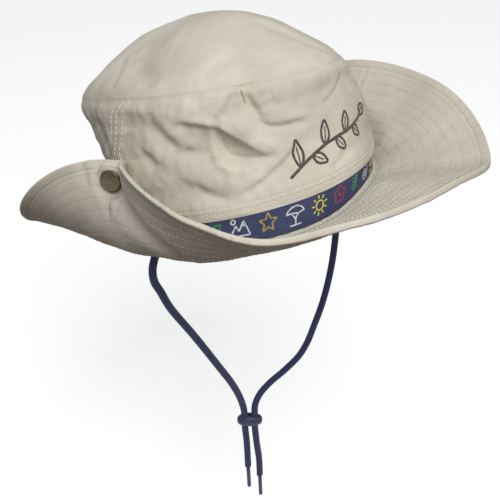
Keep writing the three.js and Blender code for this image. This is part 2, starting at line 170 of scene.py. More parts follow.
def ring_mesh(name, rings, places, loop=False):
    """A body from rings of points; a loop joins the last ring to the first. places holds one more
    ring and one more point in each ring, so that a pattern doesn't run back where they close."""
    count, size = rings.shape[:2]
    ring = np.arange(count if loop else count - 1)[:, None]
    point = np.arange(size)[None, :]
    after = (ring + 1) % count
    beside = (point + 1) % size
    faces = np.stack([ring * size + point, after * size + point,
                      after * size + beside, ring * size + beside], axis=-1).reshape(-1, 4)
    spots = np.stack([places[ring, point], places[ring + 1, point],
                      places[ring + 1, point + 1], places[ring, point + 1]], axis=-2).reshape(-1, 2)
    if not loop:
        low = np.arange(size // 2 - 1)
        end = np.stack([low, low + 1, size - 2 - low, size - 1 - low], axis=-1)
        faces = np.vstack([faces, end, end[:, ::-1] + (count - 1) * size])
        spots = np.vstack([spots, places[0][end].reshape(-1, 2),
                           places[count - 1][end[:, ::-1]].reshape(-1, 2)])
    return mesh_object(name, rings.reshape(-1, 3), faces.tolist(), spots)


def turned_rings(profile, foot, axis, angle):
    """The rings of a turned piece on an axis, from its profile of radius and height."""
    side = unit(np.cross(axis, (0, 1, 0)))
    turn = np.cos(angle)[:-1, None] * side + np.sin(angle)[:-1, None] * np.cross(axis, side)
    return foot + profile[:, 1][None, :, None] * axis + profile[:, 0][None, :, None] * turn[:, None]


def dress(piece, material, node=None):
    """Gives a piece its material, slot and body, and hides the CAD node that it stands for."""
    piece.data.materials.append(material)
    if node:
        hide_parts(node)
    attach(piece, "root")
    return piece


def feed(tree, socket, value):
    """Links a value into a socket, or sets the socket to it."""
    if isinstance(value, bpy.types.NodeSocket):
        tree.links.new(value, socket)
    else:
        socket.default_value = value


def shader_node(tree, kind, **sockets):
    """A node of the given kind, with its named inputs set or linked."""
    made = tree.nodes.new(kind)
    for name, value in sockets.items():
        feed(tree, made.inputs[name.replace("_", " ")], value)
    return made


def reckon(tree, operation, *values):
    """The result of one Math node."""
    made = tree.nodes.new("ShaderNodeMath")
    made.operation = operation
    for socket, value in zip(made.inputs, values):
        feed(tree, socket, value)
    return made.outputs[0]


def shade_ramp(tree, factor, stops):
    """A colour ramp with the given places and colours."""
    made = tree.nodes.new("ShaderNodeValToRGB")
    ramp = made.color_ramp
    while len(ramp.elements) < len(stops):
        ramp.elements.new(0.5)
    for element, (place, colour) in zip(ramp.elements, stops):
        element.position = place
        element.color = (*colour, 1)
    tree.links.new(factor, made.inputs["Fac"])
    return made.outputs["Color"]


def new_material(name):
    """An empty material with its Principled shader."""
    material = bpy.data.materials.new(name)
    material.use_nodes = True
    tree = material.node_tree
    return material, tree, tree.nodes["Principled BSDF"]


def cloth_place(tree):
    """The cloth coordinate of a piece, in millimetres."""
    place = shader_node(tree, "ShaderNodeUVMap")
    place.uv_map = "cloth"
    return place.outputs["UV"]


def solid_noise(tree, scale, detail):
    """Noise that runs through the whole piece, with its scale to the metre."""
    solid = shader_node(tree, "ShaderNodeTexCoord")
    return shader_node(tree, "ShaderNodeTexNoise", Vector=solid.outputs["Object"], Scale=scale,
                       Detail=detail).outputs["Fac"]


def finish(tree, surface, colour, roughness, height, strength, distance):
    """A surface's colour and roughness, and its finest relief through a Bump node."""
    feed(tree, surface.inputs["Base Color"], colour)
    feed(tree, surface.inputs["Roughness"], roughness)
    bump = shader_node(tree, "ShaderNodeBump", Height=height, Strength=strength, Distance=distance)
    feed(tree, surface.inputs["Normal"], bump.outputs["Normal"])


def cord_material():
    """Navy braided cotton, with lint: its tone varies in fine streaks and in broad clouds."""
    material, tree, surface = new_material("navy_cord")
    stretch = shader_node(tree, "ShaderNodeMapping", Vector=cloth_place(tree), Scale=(1.6, 5.0, 1.0))
    fibres = shader_node(tree, "ShaderNodeTexNoise", Vector=stretch.outputs["Vector"], Scale=1.4,
                         Detail=3.0).outputs["Fac"]
    mixed = reckon(tree, "ADD", reckon(tree, "MULTIPLY", fibres, 0.6),
                   reckon(tree, "MULTIPLY", solid_noise(tree, 60.0, 2.0), 0.4))
    colour = shade_ramp(tree, mixed, [(0.3, (0.021, 0.026, 0.078)), (0.52, (0.036, 0.046, 0.135)),
                                      (0.72, (0.066, 0.083, 0.215))])
    surface.inputs["Sheen Weight"].default_value = 0.15
    surface.inputs["Sheen Roughness"].default_value = 0.5
    finish(tree, surface, colour, 0.82, fibres, strength=0.5, distance=0.0002)
    return material


navy_cord = cord_material()


def moulded_tip(name, last, down):
    """A slim moulded tip that goes on from the cord's end."""
    profile = np.array([(0, 0), (1.2, 0), (1.55, 0.25), (1.7, 0.8), (1.66, 8), (1.62, 16), (1.66, 22.5),
                        (1.6, 24), (1.3, 24.7), (0.7, 25), (0, 25)])
    angle = np.linspace(0, 2 * math.pi, 25)
    rings = turned_rings(profile, last + down * cord_clearance, down, angle)
    places = spread(angle[:, None] * 1.7, np.append(profile[:, 1], 0)[None])
    return dress(ring_mesh(f"{name}_moulding", rings, places, loop=True), navy_plastic, name)


def braided_strand(side, sign, points):
    """One strand of the cord from its tab to its tip, with the braid raised on it."""
    centre = sign * (opening_half_width - tab_inset[side] - tab_size["thick"] / 2)
    low = tab_size["lift"] - cord_clearance
    start = as_worn([(centre, 0, low), (centre, 0, low - 4)])
    route, length = smooth_route(np.vstack([start, points]), route_step)
    across, over = carry_frames(route, (1, 0, 0))
    sides = 36
    angle = np.linspace(0, 2 * math.pi, sides, endpoint=False)[None, :]
    run = np.linspace(0, length, len(route))[:, None]
    right_hand = braid_carriers * (angle / (2 * math.pi) + run / braid_pitch)
    left_hand = braid_carriers * (angle / (2 * math.pi) - run / braid_pitch)
    crossing = (np.floor(right_hand) + np.floor(left_hand)) % 2
    first = np.abs(np.sin(math.pi * right_hand)) ** 0.6 * (0.5 + 0.5 * crossing)
    second = np.abs(np.sin(math.pi * left_hand)) ** 0.6 * (1 - 0.5 * crossing)
    relief = braid_relief * (np.maximum(first, second) - 0.8)
    wide = (cord_width / 2 + relief) * np.cos(angle)
    deep = (cord_thickness / 2 + relief) * np.sin(angle)
    rings = route[:, None] + wide[..., None] * across[:, None] + deep[..., None] * over[:, None]
    places = spread(np.linspace(0, math.pi * cord_width, sides + 1)[None, :], run)
    strand = dress(ring_mesh(f"braided_cord_{side}", rings, places), navy_cord, f"chin_cord_{side}")
    down = unit(np.subtract(points[-1], points[-2]))
    tip = moulded_tip(f"cord_tip_{side}", np.array(points[-1], float), down)


def plastic_material():
    """Navy moulded plastic with a soft sheen, a little worn."""
    material, tree, surface = new_material("navy_plastic")
    cloud = solid_noise(tree, 260.0, 4.0)
    colour = shade_ramp(tree, cloud, [(0.3, (0.024, 0.029, 0.075)), (0.7, (0.045, 0.054, 0.13))])
    rough = reckon(tree, "MULTIPLY_ADD", cloud, 0.3, 0.28)
    finish(tree, surface, colour, rough, cloud, strength=0.25, distance=0.0001)
    return material


navy_plastic = plastic_material()
braided_strand("right", -1, right_strand)
braided_strand("left", 1, left_strand)


# The slider is a soft-cornered barrel of navy moulded plastic with a hole for each strand. It isn't
# fixed: it grips the cord by friction.
slider_centre = np.array([0, 4.5, -211.0])
slider_size = (20.4, 11.0, 11.4)
strand_spacing = 8.0
slider_turn = np.array(Matrix.Rotation(math.radians(-38), 3, "Z"))
slider_hole = 6.3


def slider_barrel():
    """The barrel, turned about its long axis, with two bores whose mouths are eased."""
    tilt = np.linspace(-90, 90, 33)
    across = np.cos(np.radians(tilt)) ** 0.7
    across[[0, -1]] = 0
    along = np.sin(np.radians(tilt))
    angle = np.linspace(0, 2 * math.pi, 65)
    wide = along * slider_size[0] / 2
    rings = spread(wide[None], np.cos(angle)[:-1, None] * across * slider_size[1] / 2,
                   np.sin(angle)[:-1, None] * across * slider_size[2] / 2)
    places = spread(angle[:, None] * 5, np.append(wide, wide[0])[None])
    barrel = ring_mesh("cord_slider_barrel", rings @ slider_turn.T + slider_centre, places, loop=True)
    for side in (-1, 1):
        height = np.linspace(-8, 8, 33)
        mouth = slider_size[2] / 2 * math.cos(math.asin(0.5))
        radius = slider_hole / 2 + 0.5 * np.exp(-((np.abs(height) - mouth - 0.4) / 0.9) ** 2)
        height = np.concatenate([height[:1], height, height[-1:]])
        radius = np.concatenate([[0], radius, [0]])
        bore_rings = spread(radius * np.cos(angle)[:-1, None] + side * strand_spacing / 2,
                            radius * np.sin(angle)[:-1, None], height[None])
        bore_places = np.zeros((len(angle), len(height) + 1, 2))
        bore = ring_mesh(f"bore_{side}", bore_rings @ slider_turn.T + slider_centre, bore_places, loop=True)
        cut = barrel.modifiers.new("bore", "BOOLEAN")
        cut.object = bore
        cut.operation = "DIFFERENCE"
        bpy.context.view_layer.update()
        bored = bpy.data.meshes.new_from_object(barrel.evaluated_get(bpy.context.evaluated_depsgraph_get()))
        barrel.modifiers.clear()
        barrel.data = bored
        bpy.data.objects.remove(bore)
    bored.shade_smooth()
    bored.set_sharp_from_angle(angle=math.radians(40))
    bored.materials.clear()
    return barrel


dress(slider_barrel(), navy_plastic, "cord_slider")


# A small folded tab of navy tape is sewn inside the crown at each side. It holds the cord's end in the
# foot of the wall.
def cord_tab(side, sign):
    """One tab: a block of folded tape with rounded edges."""
    centre = sign * (opening_half_width - tab_inset[side] - tab_size["thick"] / 2)
    middle = np.array([centre, 0, tab_size["lift"] + tab_size["high"] / 2])
    half = np.array([tab_size["thick"], tab_size["wide"], tab_size["high"]]) / 2
    angle = np.linspace(0, 2 * math.pi, 49)
    corner = np.sign(np.cos(angle)) * np.abs(np.cos(angle)) ** 0.35
    flank = np.sign(np.sin(angle)) * np.abs(np.sin(angle)) ** 0.35
    height = np.array([-1, -1, -0.93, -0.8, -0.3, 0.3, 0.8, 0.93, 1, 1])
    size = np.array([0, 0.85, 0.96, 1, 1, 1, 1, 0.96, 0.85, 0])
    rings = spread(half[0] * corner[:-1, None] * size, half[1] * flank[:-1, None] * size,
                   half[2] * height[None])
    places = spread(angle[:, None] * 5, np.append(height, -1)[None] * half[2])
    tab = ring_mesh(f"tape_tab_{side}", as_worn(rings + middle), places, loop=True)
    dress(tab, navy_cord, f"cord_tab_{side}")


cord_tab("right", -1)
cord_tab("left", 1)


# The crown's side wall is stone-coloured cotton twill in two halves, joined by a lapped seam at each
# side. Its lower edge is turned under and sewn down over the band's top with two rows of stitches.
crown_height = 87.5
wall_thickness = 1.6
seam_gap = 0.3
band_height = 16.5
band_thickness = 1.0
band_gap = 0.5
crown_mean_radius = 88.0
folds_from = 30.0
fold_ends = 0.4
opening_reach = 50.0
rim_drop_left = 7.6
rim_rise_back = 2.2

# height, half length, half width, shift to the left, shift to the back
crown_sections = [
    (0, 95, 84.8, 0, 0), (16.5, 97.9, 82.8, 2.2, -0.7), (32, 99.8, 83, 2.9, 0.4),
    (51, 100.4, 82.4, 4, 3.5), (69, 100.9, 79.6, 3.4, 6.2), (87.5, 100.9, 72.9, 3.8, 8.9),
]
# azimuth, how far the hat's opening is pressed out and how far it is lifted there
opening_shape = [
    (-180, 0.2, 0), (-120, -0.4, -0.2), (-75, -0.8, -0.5), (-40, -0.7, -1.4), (-10, -1.4, -2),
    (20, -4.4, 2.6), (45, -4.5, 4.3), (65, -2.7, 2.6), (90, -1, 0.9), (130, 0, 0.1),
]
# height, azimuth of the right seam, azimuth of the left seam
side_seams = [(0, -92, 90), (30, -95.5, 90), (58, -94.2, 90), (69.5, -90, 90), (78, -88, 90),
              (82.5, -86, 90), (87.5, -82, 90)]
seam_rows = (-5.2, 0.9, 6.8)
# from azimuth and height, to azimuth and height, depth, shoulder above it, width
wall_folds = [
    (-58, 70, -44, 61.5, -2.6, 1.8, 6), (-44, 61.5, -31, 44.5, -3.6, 2.2, 7),
    (-42, 58, -39, 45.5, -3.0, 0, 6), (-71, 75, -60, 57, -2.0, 1.0, 6), (-61, 58.5, -43, 54, -2.7, 0.6, 7.5),
    (-77, 56, -71, 50, -1.4, 0.6, 5), (-62, 35, -40, 24, -1.8, 1.1, 7), (-26, 62, -13, 58, -1.2, 0.8, 6),
    (2, 64, 21, 77, -0.5, 0.3, 7), (-29, 86, -39, 70, -2.2, 0, 6), (-28, 82, -24, 59, -2.2, 0, 6),
    (-106, 78, -102, 54, -2.4, 0, 6), (-90, 54, -88, 34, 4.4, 0, 19), (-132, 85, -104, 85, 6, 0, 14),
    (62, 70, 84, 52, -2.6, 1.6, 8), (112, 58, 138, 66, -2.4, 1.5, 8), (170, 40, 196, 52, -2.4, 1.6, 8),
    (-150, 68, -128, 58, -2.2, 1.4, 8),
]
# depth of the crease, height of the lip beside it, width, then its line by azimuth and height. The lip
# lies on the left of the line as it runs.
wall_creases = [
    (0.5, 1.5, 1.8, [(-62, 71.5), (-55.5, 71), (-50.5, 69.5), (-46, 67.5), (-42, 63.5), (-39, 59),
                     (-35.5, 53.5), (-31, 48), (-26, 42.5)]),
    (2.4, 1.1, 2.4, [(-23, 44.5), (-27, 45.5), (-33, 46), (-38.5, 47), (-42, 49.8), (-43.6, 54.5),
                     (-43.8, 60), (-43, 67), (-41, 75)]),
    (0.5, 0.4, 2.8, [(-70.5, 74.5), (-67, 69.5), (-63.5, 64), (-60.5, 59), (-56, 56), (-51, 53.5),
                     (-45.5, 53)]),
    (0.8, 0.4, 2.4, [(-78, 62), (-77, 60), (-74.5, 55.5), (-72, 50.5)]),
    (0.8, 0.5, 3.0, [(-66, 43), (-63.5, 41), (-57.5, 36), (-52.5, 30), (-48, 26), (-43, 23)]),
    (1.1, 0.8, 2.2, [(-42, 26.5), (-36, 30), (-28.5, 34.5), (-22, 39.5), (-16, 45), (-11, 51)]),
    (1.1, 0.6, 1.9, [(-28, 69), (-26, 64.5), (-23, 61), (-18.5, 59.5), (-13, 59.5), (-6, 58)]),
    (0.5, 0.3, 1.8, [(1, 63), (7, 65.5), (13, 68.5), (19, 73), (26, 79)]),
    (1.0, 0.9, 2.6, [(-112, 74), (-111, 67), (-110, 60), (-109, 52)]),
    (1.2, 1.0, 2.2, [(-30, 83), (-28.5, 77), (-27, 72), (-26.5, 67)]),
    (1.0, 0.9, 2.4, [(-41, 70), (-36, 78), (-32, 84.5)]),
    (0.6, 0.4, 2.4, [(-19.5, 86), (-20, 79.5), (-20, 72)]),
    (0.5, 0.3, 2.4, [(-88, 78), (-80, 79.5), (-71.5, 77)]),
    (0.5, 0.3, 2.6, [(-11, 87), (-13.5, 79.5), (-14, 70)]),
    (0.6, 0.4, 2.6, [(-6, 24), (2.5, 29), (12, 33)]),
    (0.9, 0.6, 3.0, [(56, 74), (66, 66), (76, 55), (88, 50)]),
    (0.8, 0.5, 2.6, [(96, 78), (101, 66), (103, 52)]),
    (0.9, 0.6, 3.0, [(108, 56), (124, 61), (140, 67)]), (0.8, 0.5, 2.8, [(150, 80), (158, 70), (172, 64)]),
    (0.9, 0.6, 3.0, [(166, 38), (182, 46), (198, 53)]), (0.9, 0.6, 2.8, [(-154, 70), (-142, 64), (-128, 57)]),
    (0.7, 0.4, 2.6, [(-128, 40), (-136, 32), (-148, 28)]), (0.7, 0.4, 2.8, [(40, 34), (52, 40), (66, 36)]),
]
lip_out = 2.2
crown_row_heights = (20.3, 23.2)
row_sink, row_spread = 0.42, 0.7
lap_width, lap_rise, lap_row_sink = 9.0, 0.5, 0.1
rim_roll_rise, rim_roll_height = 1.7, 15.0
seam_clearance = 0.12


def table_value(rows, column, at, period=0):
    """One column of a table on a smooth curve through its rows. A period joins the table's ends."""
    rows = np.asarray(rows, float)
    keys, values = rows[:, 0], rows[:, column]
    at = np.asarray(at, float)
    if period:
        keys = np.concatenate([keys[-2:] - period, keys, keys[:3] + period])
        values = np.concatenate([values[-2:], values, values[:3]])
        at = keys[2] + np.mod(at - keys[2], period)
    slopes = np.empty_like(values)
    slopes[1:-1] = (values[2:] - values[:-2]) / (keys[2:] - keys[:-2])
    slopes[0] = (values[1] - values[0]) / (keys[1] - keys[0])
    slopes[-1] = (values[-1] - values[-2]) / (keys[-1] - keys[-2])
    first = np.clip(np.searchsorted(keys, at, side="right") - 1, 0, len(keys) - 2)
    span = keys[first + 1] - keys[first]
    t = (at - keys[first]) / span
    return (values[first] * (1 + 2 * t) * (1 - t) ** 2 + values[first + 1] * t * t * (3 - 2 * t)
            + slopes[first] * span * t * (1 - t) ** 2 - slopes[first + 1] * span * t * t * (1 - t))


def smooth_share(value, low, high):
    """0 below low, 1 above high, and smooth between them."""
    share = np.clip((np.asarray(value, float) - low) / (high - low), 0, 1)
    return share * share * (3 - 2 * share)


def fold_rise(azimuth, height, folds):
    """How far the folds and swellings push the wall out."""
    per_degree = math.radians(crown_mean_radius)
    rise = np.zeros(np.broadcast(azimuth, height).shape)
    for from_azimuth, from_height, to_azimuth, to_height, depth, shoulder, width in folds:
        near = azimuth - 360 * np.round((azimuth - (from_azimuth + to_azimuth) / 2) / 360)
        line = np.array([(to_azimuth - from_azimuth) * per_degree, to_height - from_height])
        run, up = (near - from_azimuth) * per_degree, height - from_height
        share = np.clip((run * line[0] + up * line[1]) / line.dot(line), 0, 1)
        beside, above = run - share * line[0], up - share * line[1]
        distance = np.hypot(beside, above) / width
        fade = fold_ends + (1 - fold_ends) * np.sin(math.pi * share)
        upper = smooth_share(above, -0.2 * width, 0.9 * width)
        rise = rise + depth * fade * np.exp(-distance ** 2)
        rise = rise + shoulder * fade * np.exp(-(distance - 1.5) ** 2) * upper
    return rise


def crease_rise(across, along, creases):
    """Sharper creases on a face: each is a line with a narrow hollow and a lip along one side."""
    rise = np.zeros(np.broadcast(across, along).shape)
    for depth, lip_rise, width, line in creases:
        line = np.asarray(line, float)
        lengths = np.linalg.norm(np.diff(line, axis=0), axis=1)
        run = run_along(line)
        gaps, offs, shares = [], [], []
        for start, end, length, before in zip(line, line[1:], lengths, run):
            step = (end - start) / length
            far = np.clip((across - start[0]) * step[0] + (along - start[1]) * step[1], 0, length)
            beside, above = across - start[0] - far * step[0], along - start[1] - far * step[1]
            gaps.append(np.hypot(beside, above))
            offs.append(step[0] * above - step[1] * beside)
            shares.append((before + far) / run[-1])
        gaps, offs, shares = np.array(gaps), np.array(offs), np.array(shares)
        nearest = gaps.min(axis=0)
        near = np.exp(-np.minimum((gaps ** 2 - nearest ** 2) / (1.5 * width) ** 2, 50))
        near /= near.sum(axis=0)
        off, place = (near * offs).sum(axis=0), (near * shares).sum(axis=0)
        fade = smooth_share(np.sin(math.pi * np.clip(place, 0, 1)), 0, 0.75)
        rise = rise - depth * fade * np.exp(-(nearest / width) ** 2)
        shoulder = np.exp(-((off - 1.9 * width) / (1.3 * width)) ** 2) * smooth_share(off, 0, 1.4 * width)
        rise = rise + lip_rise * fade * shoulder
    return rise


def drift(points, size, seed):
    """A smooth random field of about unit height over points, with bumps of about the given size."""
    chance = np.random.default_rng(seed)
    total = np.zeros(points.shape[:-1])
    for _ in range(12):
        direction = chance.normal(size=3)
        direction *= 2 * math.pi / size * chance.uniform(0.7, 1.5) / np.linalg.norm(direction)
        total = total + np.sin(points @ direction + chance.uniform(0, 2 * math.pi))
    return total / math.sqrt(12)


def opening(azimuth, column):
    """How far the hat's opening is pressed out (column 1) or lifted (column 2) at an azimuth."""
    return table_value(opening_shape, column, azimuth, 360)


def oval_turn(azimuth, half_width, half_length):
    """Shares across and along an oval at an azimuth, and the outward direction there."""
    across, along = np.sin(np.radians(azimuth)), -np.cos(np.radians(azimuth))
    return across, along, unit(np.stack([across / half_width, along / half_length], axis=-1))


def signed_turn(angle):
    """The same angle between -180 and 180 degrees."""
    return np.mod(angle + 180, 360) - 180


def creases_in_mm(creases, per_degree):
    """A table of creases whose azimuths are turned into distances round the piece."""
    return [(depth, rise, width, [(azimuth * per_degree, far) for azimuth, far in line])
            for depth, rise, width, line in creases]


def wall_point(azimuth, height, out=0.0):
    """Points of the crown's side wall by azimuth and height, moved out by so much."""
    azimuth, height, out = np.broadcast_arrays(azimuth, height, out)
    half_length = table_value(crown_sections, 1, height)
    half_width = table_value(crown_sections, 2, height)
    across, along, normal = oval_turn(azimuth, half_width, half_length)
    free = smooth_share(height, band_height, folds_from)
    pressed = 1 - smooth_share(height, 0, opening_reach)
    push = out + fold_rise(azimuth, height, wall_folds) * free + opening(azimuth, 1) * pressed
    lean = (height / crown_height) ** 3
    lifted = np.maximum(1 - height / band_height, 0) * opening(azimuth, 2)
    return np.stack([
        half_width * across + table_value(crown_sections, 3, height) + normal[..., 0] * push,
        half_length * along + table_value(crown_sections, 4, height) + normal[..., 1] * push,
        height + lean * (rim_rise_back * along - rim_drop_left * across) + lifted], axis=-1)


def seam_azimuth(height, side):
    """Azimuth of a side seam at a height: side 1 is the right one, 2 the left one."""
    return table_value(side_seams, side, height)


def lip(height):
    """How far the crown's turned lower edge stands out over the band."""
    return lip_out * (1 - smooth_share(height, 20, 34))


def crown_relief(azimuth, height):
    """How far the finished outer face stands out: lip, sewn rows, side seams, creases and ripples."""
    per_degree = math.radians(crown_mean_radius)
    plain = wall_point(azimuth, height)
    near = signed_turn(azimuth)
    taut = 1 - 0.85 * np.exp(-((near - 12) / 15) ** 2 - ((height - 77) / 14) ** 2)
    relief = lip(height) + 0.3 * taut * drift(plain, size=36, seed=3) + 0.16 * drift(plain, size=11, seed=5)
    ripples = np.abs(drift(plain * (1, 1, 1.5), size=24, seed=13)) * smooth_share(height, 22, 40)
    relief = relief - 0.5 * taut * ripples
    creases = creases_in_mm(wall_creases, per_degree)
    free = smooth_share(height, 19, 30)
    for lap in (-360, 0, 360):
        relief = relief + crease_rise((near + lap) * per_degree, height, creases) * free
    for row in crown_row_heights:
        relief = relief - row_sink * np.exp(-((height - row) / row_spread) ** 2)
    pucker = drift(plain * (1, 1, 0.25), size=5, seed=9) * np.exp(-((height - 25.5) / 4) ** 2)
    relief = relief + 0.07 * pucker
    gathers = drift(plain * (1, 1, 0.4), size=8, seed=27) * np.exp(-((crown_height - height - 6) / 4) ** 2)
    relief = relief + 0.2 * gathers
    for side, turn in ((1, 1), (2, -1)):
        off = (near - seam_azimuth(height, side)) * per_degree * turn
        lapped = smooth_share(off, -0.2, 0.4) * (1 - smooth_share(off, lap_width - 0.6, lap_width + 0.8))
        relief = relief + free * (lap_rise * lapped + 0.3 * np.exp(-((off - 0.5) / 0.6) ** 2))
        for beside in seam_rows:
            relief = relief - lap_row_sink * free * np.exp(-((off - beside) / row_spread) ** 2)
    below_rim = (crown_height - height) / rim_roll_height
    relief = relief + rim_roll_rise * np.sin(math.pi * np.clip(below_rim, 0, 1) ** 0.75) ** 1.3
    creased = 0.06 + 0.1 * np.exp(-((near + 88) / 24) ** 2)
    return (relief * smooth_share(crown_height - height, 0, 4)
            - creased * np.exp(-((crown_height - height) / 1.0) ** 2))


def shell(name, outside, inside, places, loop=False):
    """A sheet of cloth with two faces and closed edges, from matching grids of points."""
    rings = np.concatenate([outside, inside[:, ::-1]], axis=1)
    spots = np.concatenate([places, places[:, ::-1], places[:, :1]], axis=1)
    return ring_mesh(name, as_worn(rings), spots, loop=loop)


def new_group(name, inputs, outputs):
    """An empty node group. Its inputs are named with their usual values, and a place has none."""
    tree = bpy.data.node_groups.new(name, "ShaderNodeTree")
    for socket, value in inputs.items():
        kind = "NodeSocketVector" if value is None else "NodeSocketFloat"
        made = tree.interface.new_socket(name=socket, in_out="INPUT", socket_type=kind)
        if value is not None:
            made.default_value = value
    for socket in outputs:
        tree.interface.new_socket(name=socket, in_out="OUTPUT", socket_type="NodeSocketFloat")
    return tree, tree.nodes.new("NodeGroupInput"), tree.nodes.new("NodeGroupOutput")


def wales_group():
    """Twill: raised diagonal wales with slubs in them. Puts out their height and a light-dark mask: random
    grain, with painted light on the raised wales.
    """
    tree, given, result = new_group(
        "twill_wales", {"Place": None, "Wales Per Mm": 0.8, "Lean": 1.0, "Waver": 0.35}, ("Height", "Shade"))
    slub = shader_node(tree, "ShaderNodeTexNoise", Vector=given.outputs["Place"], Scale=0.55, Detail=3.0)
    parts = shader_node(tree, "ShaderNodeSeparateXYZ", Vector=given.outputs["Place"])
    leaned = reckon(tree, "MULTIPLY_ADD", parts.outputs["X"], given.outputs["Lean"], parts.outputs["Y"])
    waved = reckon(tree, "MULTIPLY_ADD", slub.outputs["Fac"], given.outputs["Waver"],
                   reckon(tree, "MULTIPLY", leaned, given.outputs["Wales Per Mm"]))
    wale = reckon(tree, "SINE", reckon(tree, "MULTIPLY", waved, 2 * math.pi))
    cross = reckon(tree, "SINE", reckon(tree, "MULTIPLY", parts.outputs["Y"], 2 * math.pi * 0.9))
    broken = reckon(tree, "MULTIPLY", wale, reckon(tree, "MULTIPLY_ADD", cross, 0.25, 0.75))
    height = reckon(tree, "MULTIPLY_ADD", cross, 0.14, reckon(tree, "MULTIPLY_ADD", broken, 0.36, 0.5))
    tree.links.new(height, result.inputs["Height"])
    # The mask is random grain plus painted light: the raised wales are lighter in colour.
    grain = shader_node(tree, "ShaderNodeTexNoise", Vector=given.outputs["Place"], Scale=1.7, Detail=2.0)
    shade = reckon(tree, "MULTIPLY_ADD", grain.outputs["Fac"], 0.5,
                   reckon(tree, "MULTIPLY_ADD", broken, 0.12, 0.25))
    tree.links.new(shade, result.inputs["Shade"])
    return tree


def wash_group():
    """Washed cloth: broad paler and darker clouds over the whole piece."""
    tree, given, result = new_group("wash_clouds", {"Cloud Size": 24.0}, ("Cloud",))
    solid = shader_node(tree, "ShaderNodeTexCoord")
    cloud = shader_node(tree, "ShaderNodeTexNoise", Vector=solid.outputs["Object"],
                        Scale=given.outputs["Cloud Size"], Detail=5.0, Roughness=0.55)
    tree.links.new(cloud.outputs["Fac"], result.inputs["Cloud"])
    return tree


twill_wales = wales_group()
wash_clouds = wash_group()


def place_group(tree, group, **sockets):
    """A node group placed in a material with its own values."""
    made = tree.nodes.new("ShaderNodeGroup")
    made.node_tree = group
    for name, value in sockets.items():
        feed(tree, made.inputs[name.replace("_", " ")], value)
    return made


def stone_twill(name, wales, lean, depth, shown=0.55):
    """Stone-coloured cotton twill, by wales to the mm, their lean and depth, and how much their grain and
    painted light show in the colour.
    """
    material, tree, surface = new_material(name)
    weave = place_group(tree, twill_wales, Place=cloth_place(tree), Wales_Per_Mm=wales, Lean=lean)
    wash = place_group(tree, wash_clouds, Cloud_Size=26.0)
    # The weave's mask brings grain and painted light on the raised wales into the colour.
    mixed = reckon(tree, "MULTIPLY_ADD", wash.outputs["Cloud"], 0.45, reckon(
        tree, "MULTIPLY_ADD", weave.outputs["Shade"], shown, (0.55 - shown) / 2))
    colour = shade_ramp(tree, mixed, [(0.3, (0.44, 0.405, 0.335)), (0.5, (0.575, 0.535, 0.455)),
                                      (0.7, (0.7, 0.66, 0.575))])
    surface.inputs["Specular IOR Level"].default_value = 0.25
    finish(tree, surface, colour, 0.92, weave.outputs["Height"], strength=0.55, distance=depth)
    return material


crown_cloth = stone_twill("crown_twill", wales=0.5, lean=-0.9, depth=0.0003)


def crown_panel(name, node, columns, rows, back):
    """Half of the side wall, with its lapped seams and its lip over the band."""
    foot = [(0.0, 0.0), (8.0, 0.0), (15.5, 0.0), (17.2, 0.05), (17.5, 0.3), (17.5, 1.68), (16.3, 1.72),
            (16.0, 1.9), (16.1, 2.15), (16.6, lip_out + 0.05)]
    top = crown_height - 0.05
    heights = np.concatenate([[h for h, _ in foot], np.linspace(17.2, top, rows)])
    edge = np.array([o for _, o in foot])
    right, left = seam_azimuth(heights, 1), seam_azimuth(heights, 2)
    low, high = (left, right + 360) if back else (right, left)
    low, high = low + seam_clearance, high - seam_clearance
    share = np.linspace(0, 1, columns + 1)[:, None]
    azimuth = low + (high - low) * share
    height = np.broadcast_to(heights, azimuth.shape)
    out = crown_relief(azimuth, height)
    out[:, :len(edge)] = edge
    outside = wall_point(azimuth, height, out)
    inside = wall_point(azimuth, np.minimum(heights, crown_height - seam_gap),
                        np.minimum(out, 0.6) - wall_thickness)
    foot_run = slice(0, len(edge))
    inside[:, foot_run] = wall_point(azimuth[:, foot_run], height[:, foot_run], -wall_thickness)
    places = np.stack([azimuth * math.radians(crown_mean_radius), height], axis=-1)
    dress(shell(name, outside, inside, places), crown_cloth, node)


crown_panel("crown_front_cloth", "crown_front_panel", columns=360, rows=92, back=False)
crown_panel("crown_back_cloth", "crown_back_panel", columns=280, rows=72, back=True)


# Sewing thread is stone-coloured cotton. Each stitch is a short strand that dips into the cloth at both
# ends, and a row of them runs round the crown over the band, beside the lapped seams and round the tip.
def thread_material(name, dark, pale):
    """Spun cotton thread."""
    material, tree, surface = new_material(name)
    fibre = solid_noise(tree, 900.0, 2.0)
    colour = shade_ramp(tree, fibre, [(0.3, dark), (0.7, pale)])
    finish(tree, surface, colour, 0.75, fibre, strength=0.3, distance=0.0001)
    return material


stone_thread = thread_material("stone_thread", (0.6, 0.56, 0.48), (0.82, 0.78, 0.7))


def strand_bodies(starts, ends, ups, radius, bow, dip):
    """Short strands between pairs of points: four rings of four points each, raised in the middle."""
    starts, ends, ups = (np.asarray(part, float) for part in (starts, ends, ups))
    along = ends - starts
    side = np.cross(along, ups)
    side /= np.linalg.norm(side, axis=-1)[:, None] + 1e-9
    rings = []
    for share, size, rise in ((0.0, 0.35, -dip), (0.22, 1.0, bow * 0.8), (0.78, 1.0, bow * 0.8),
                              (1.0, 0.35, -dip)):
        middle = starts + along * share + ups * rise
        for sideways, upward in ((-1, 0), (0, 1), (1, 0), (0, -1)):
            rings.append(middle + side * radius * size * sideways + ups * radius * size * upward)
    points = np.stack(rings, axis=1)
    pattern = [(ring * 4 + k, (ring + 1) * 4 + k, (ring + 1) * 4 + (k + 1) % 4, ring * 4 + (k + 1) % 4)
               for ring in range(3) for k in range(4)] + [(0, 1, 2, 3), (15, 14, 13, 12)]
    faces = np.array(pattern)[None] + 16 * np.arange(len(points))[:, None, None]
    return points.reshape(-1, 3), faces.reshape(-1, 4)


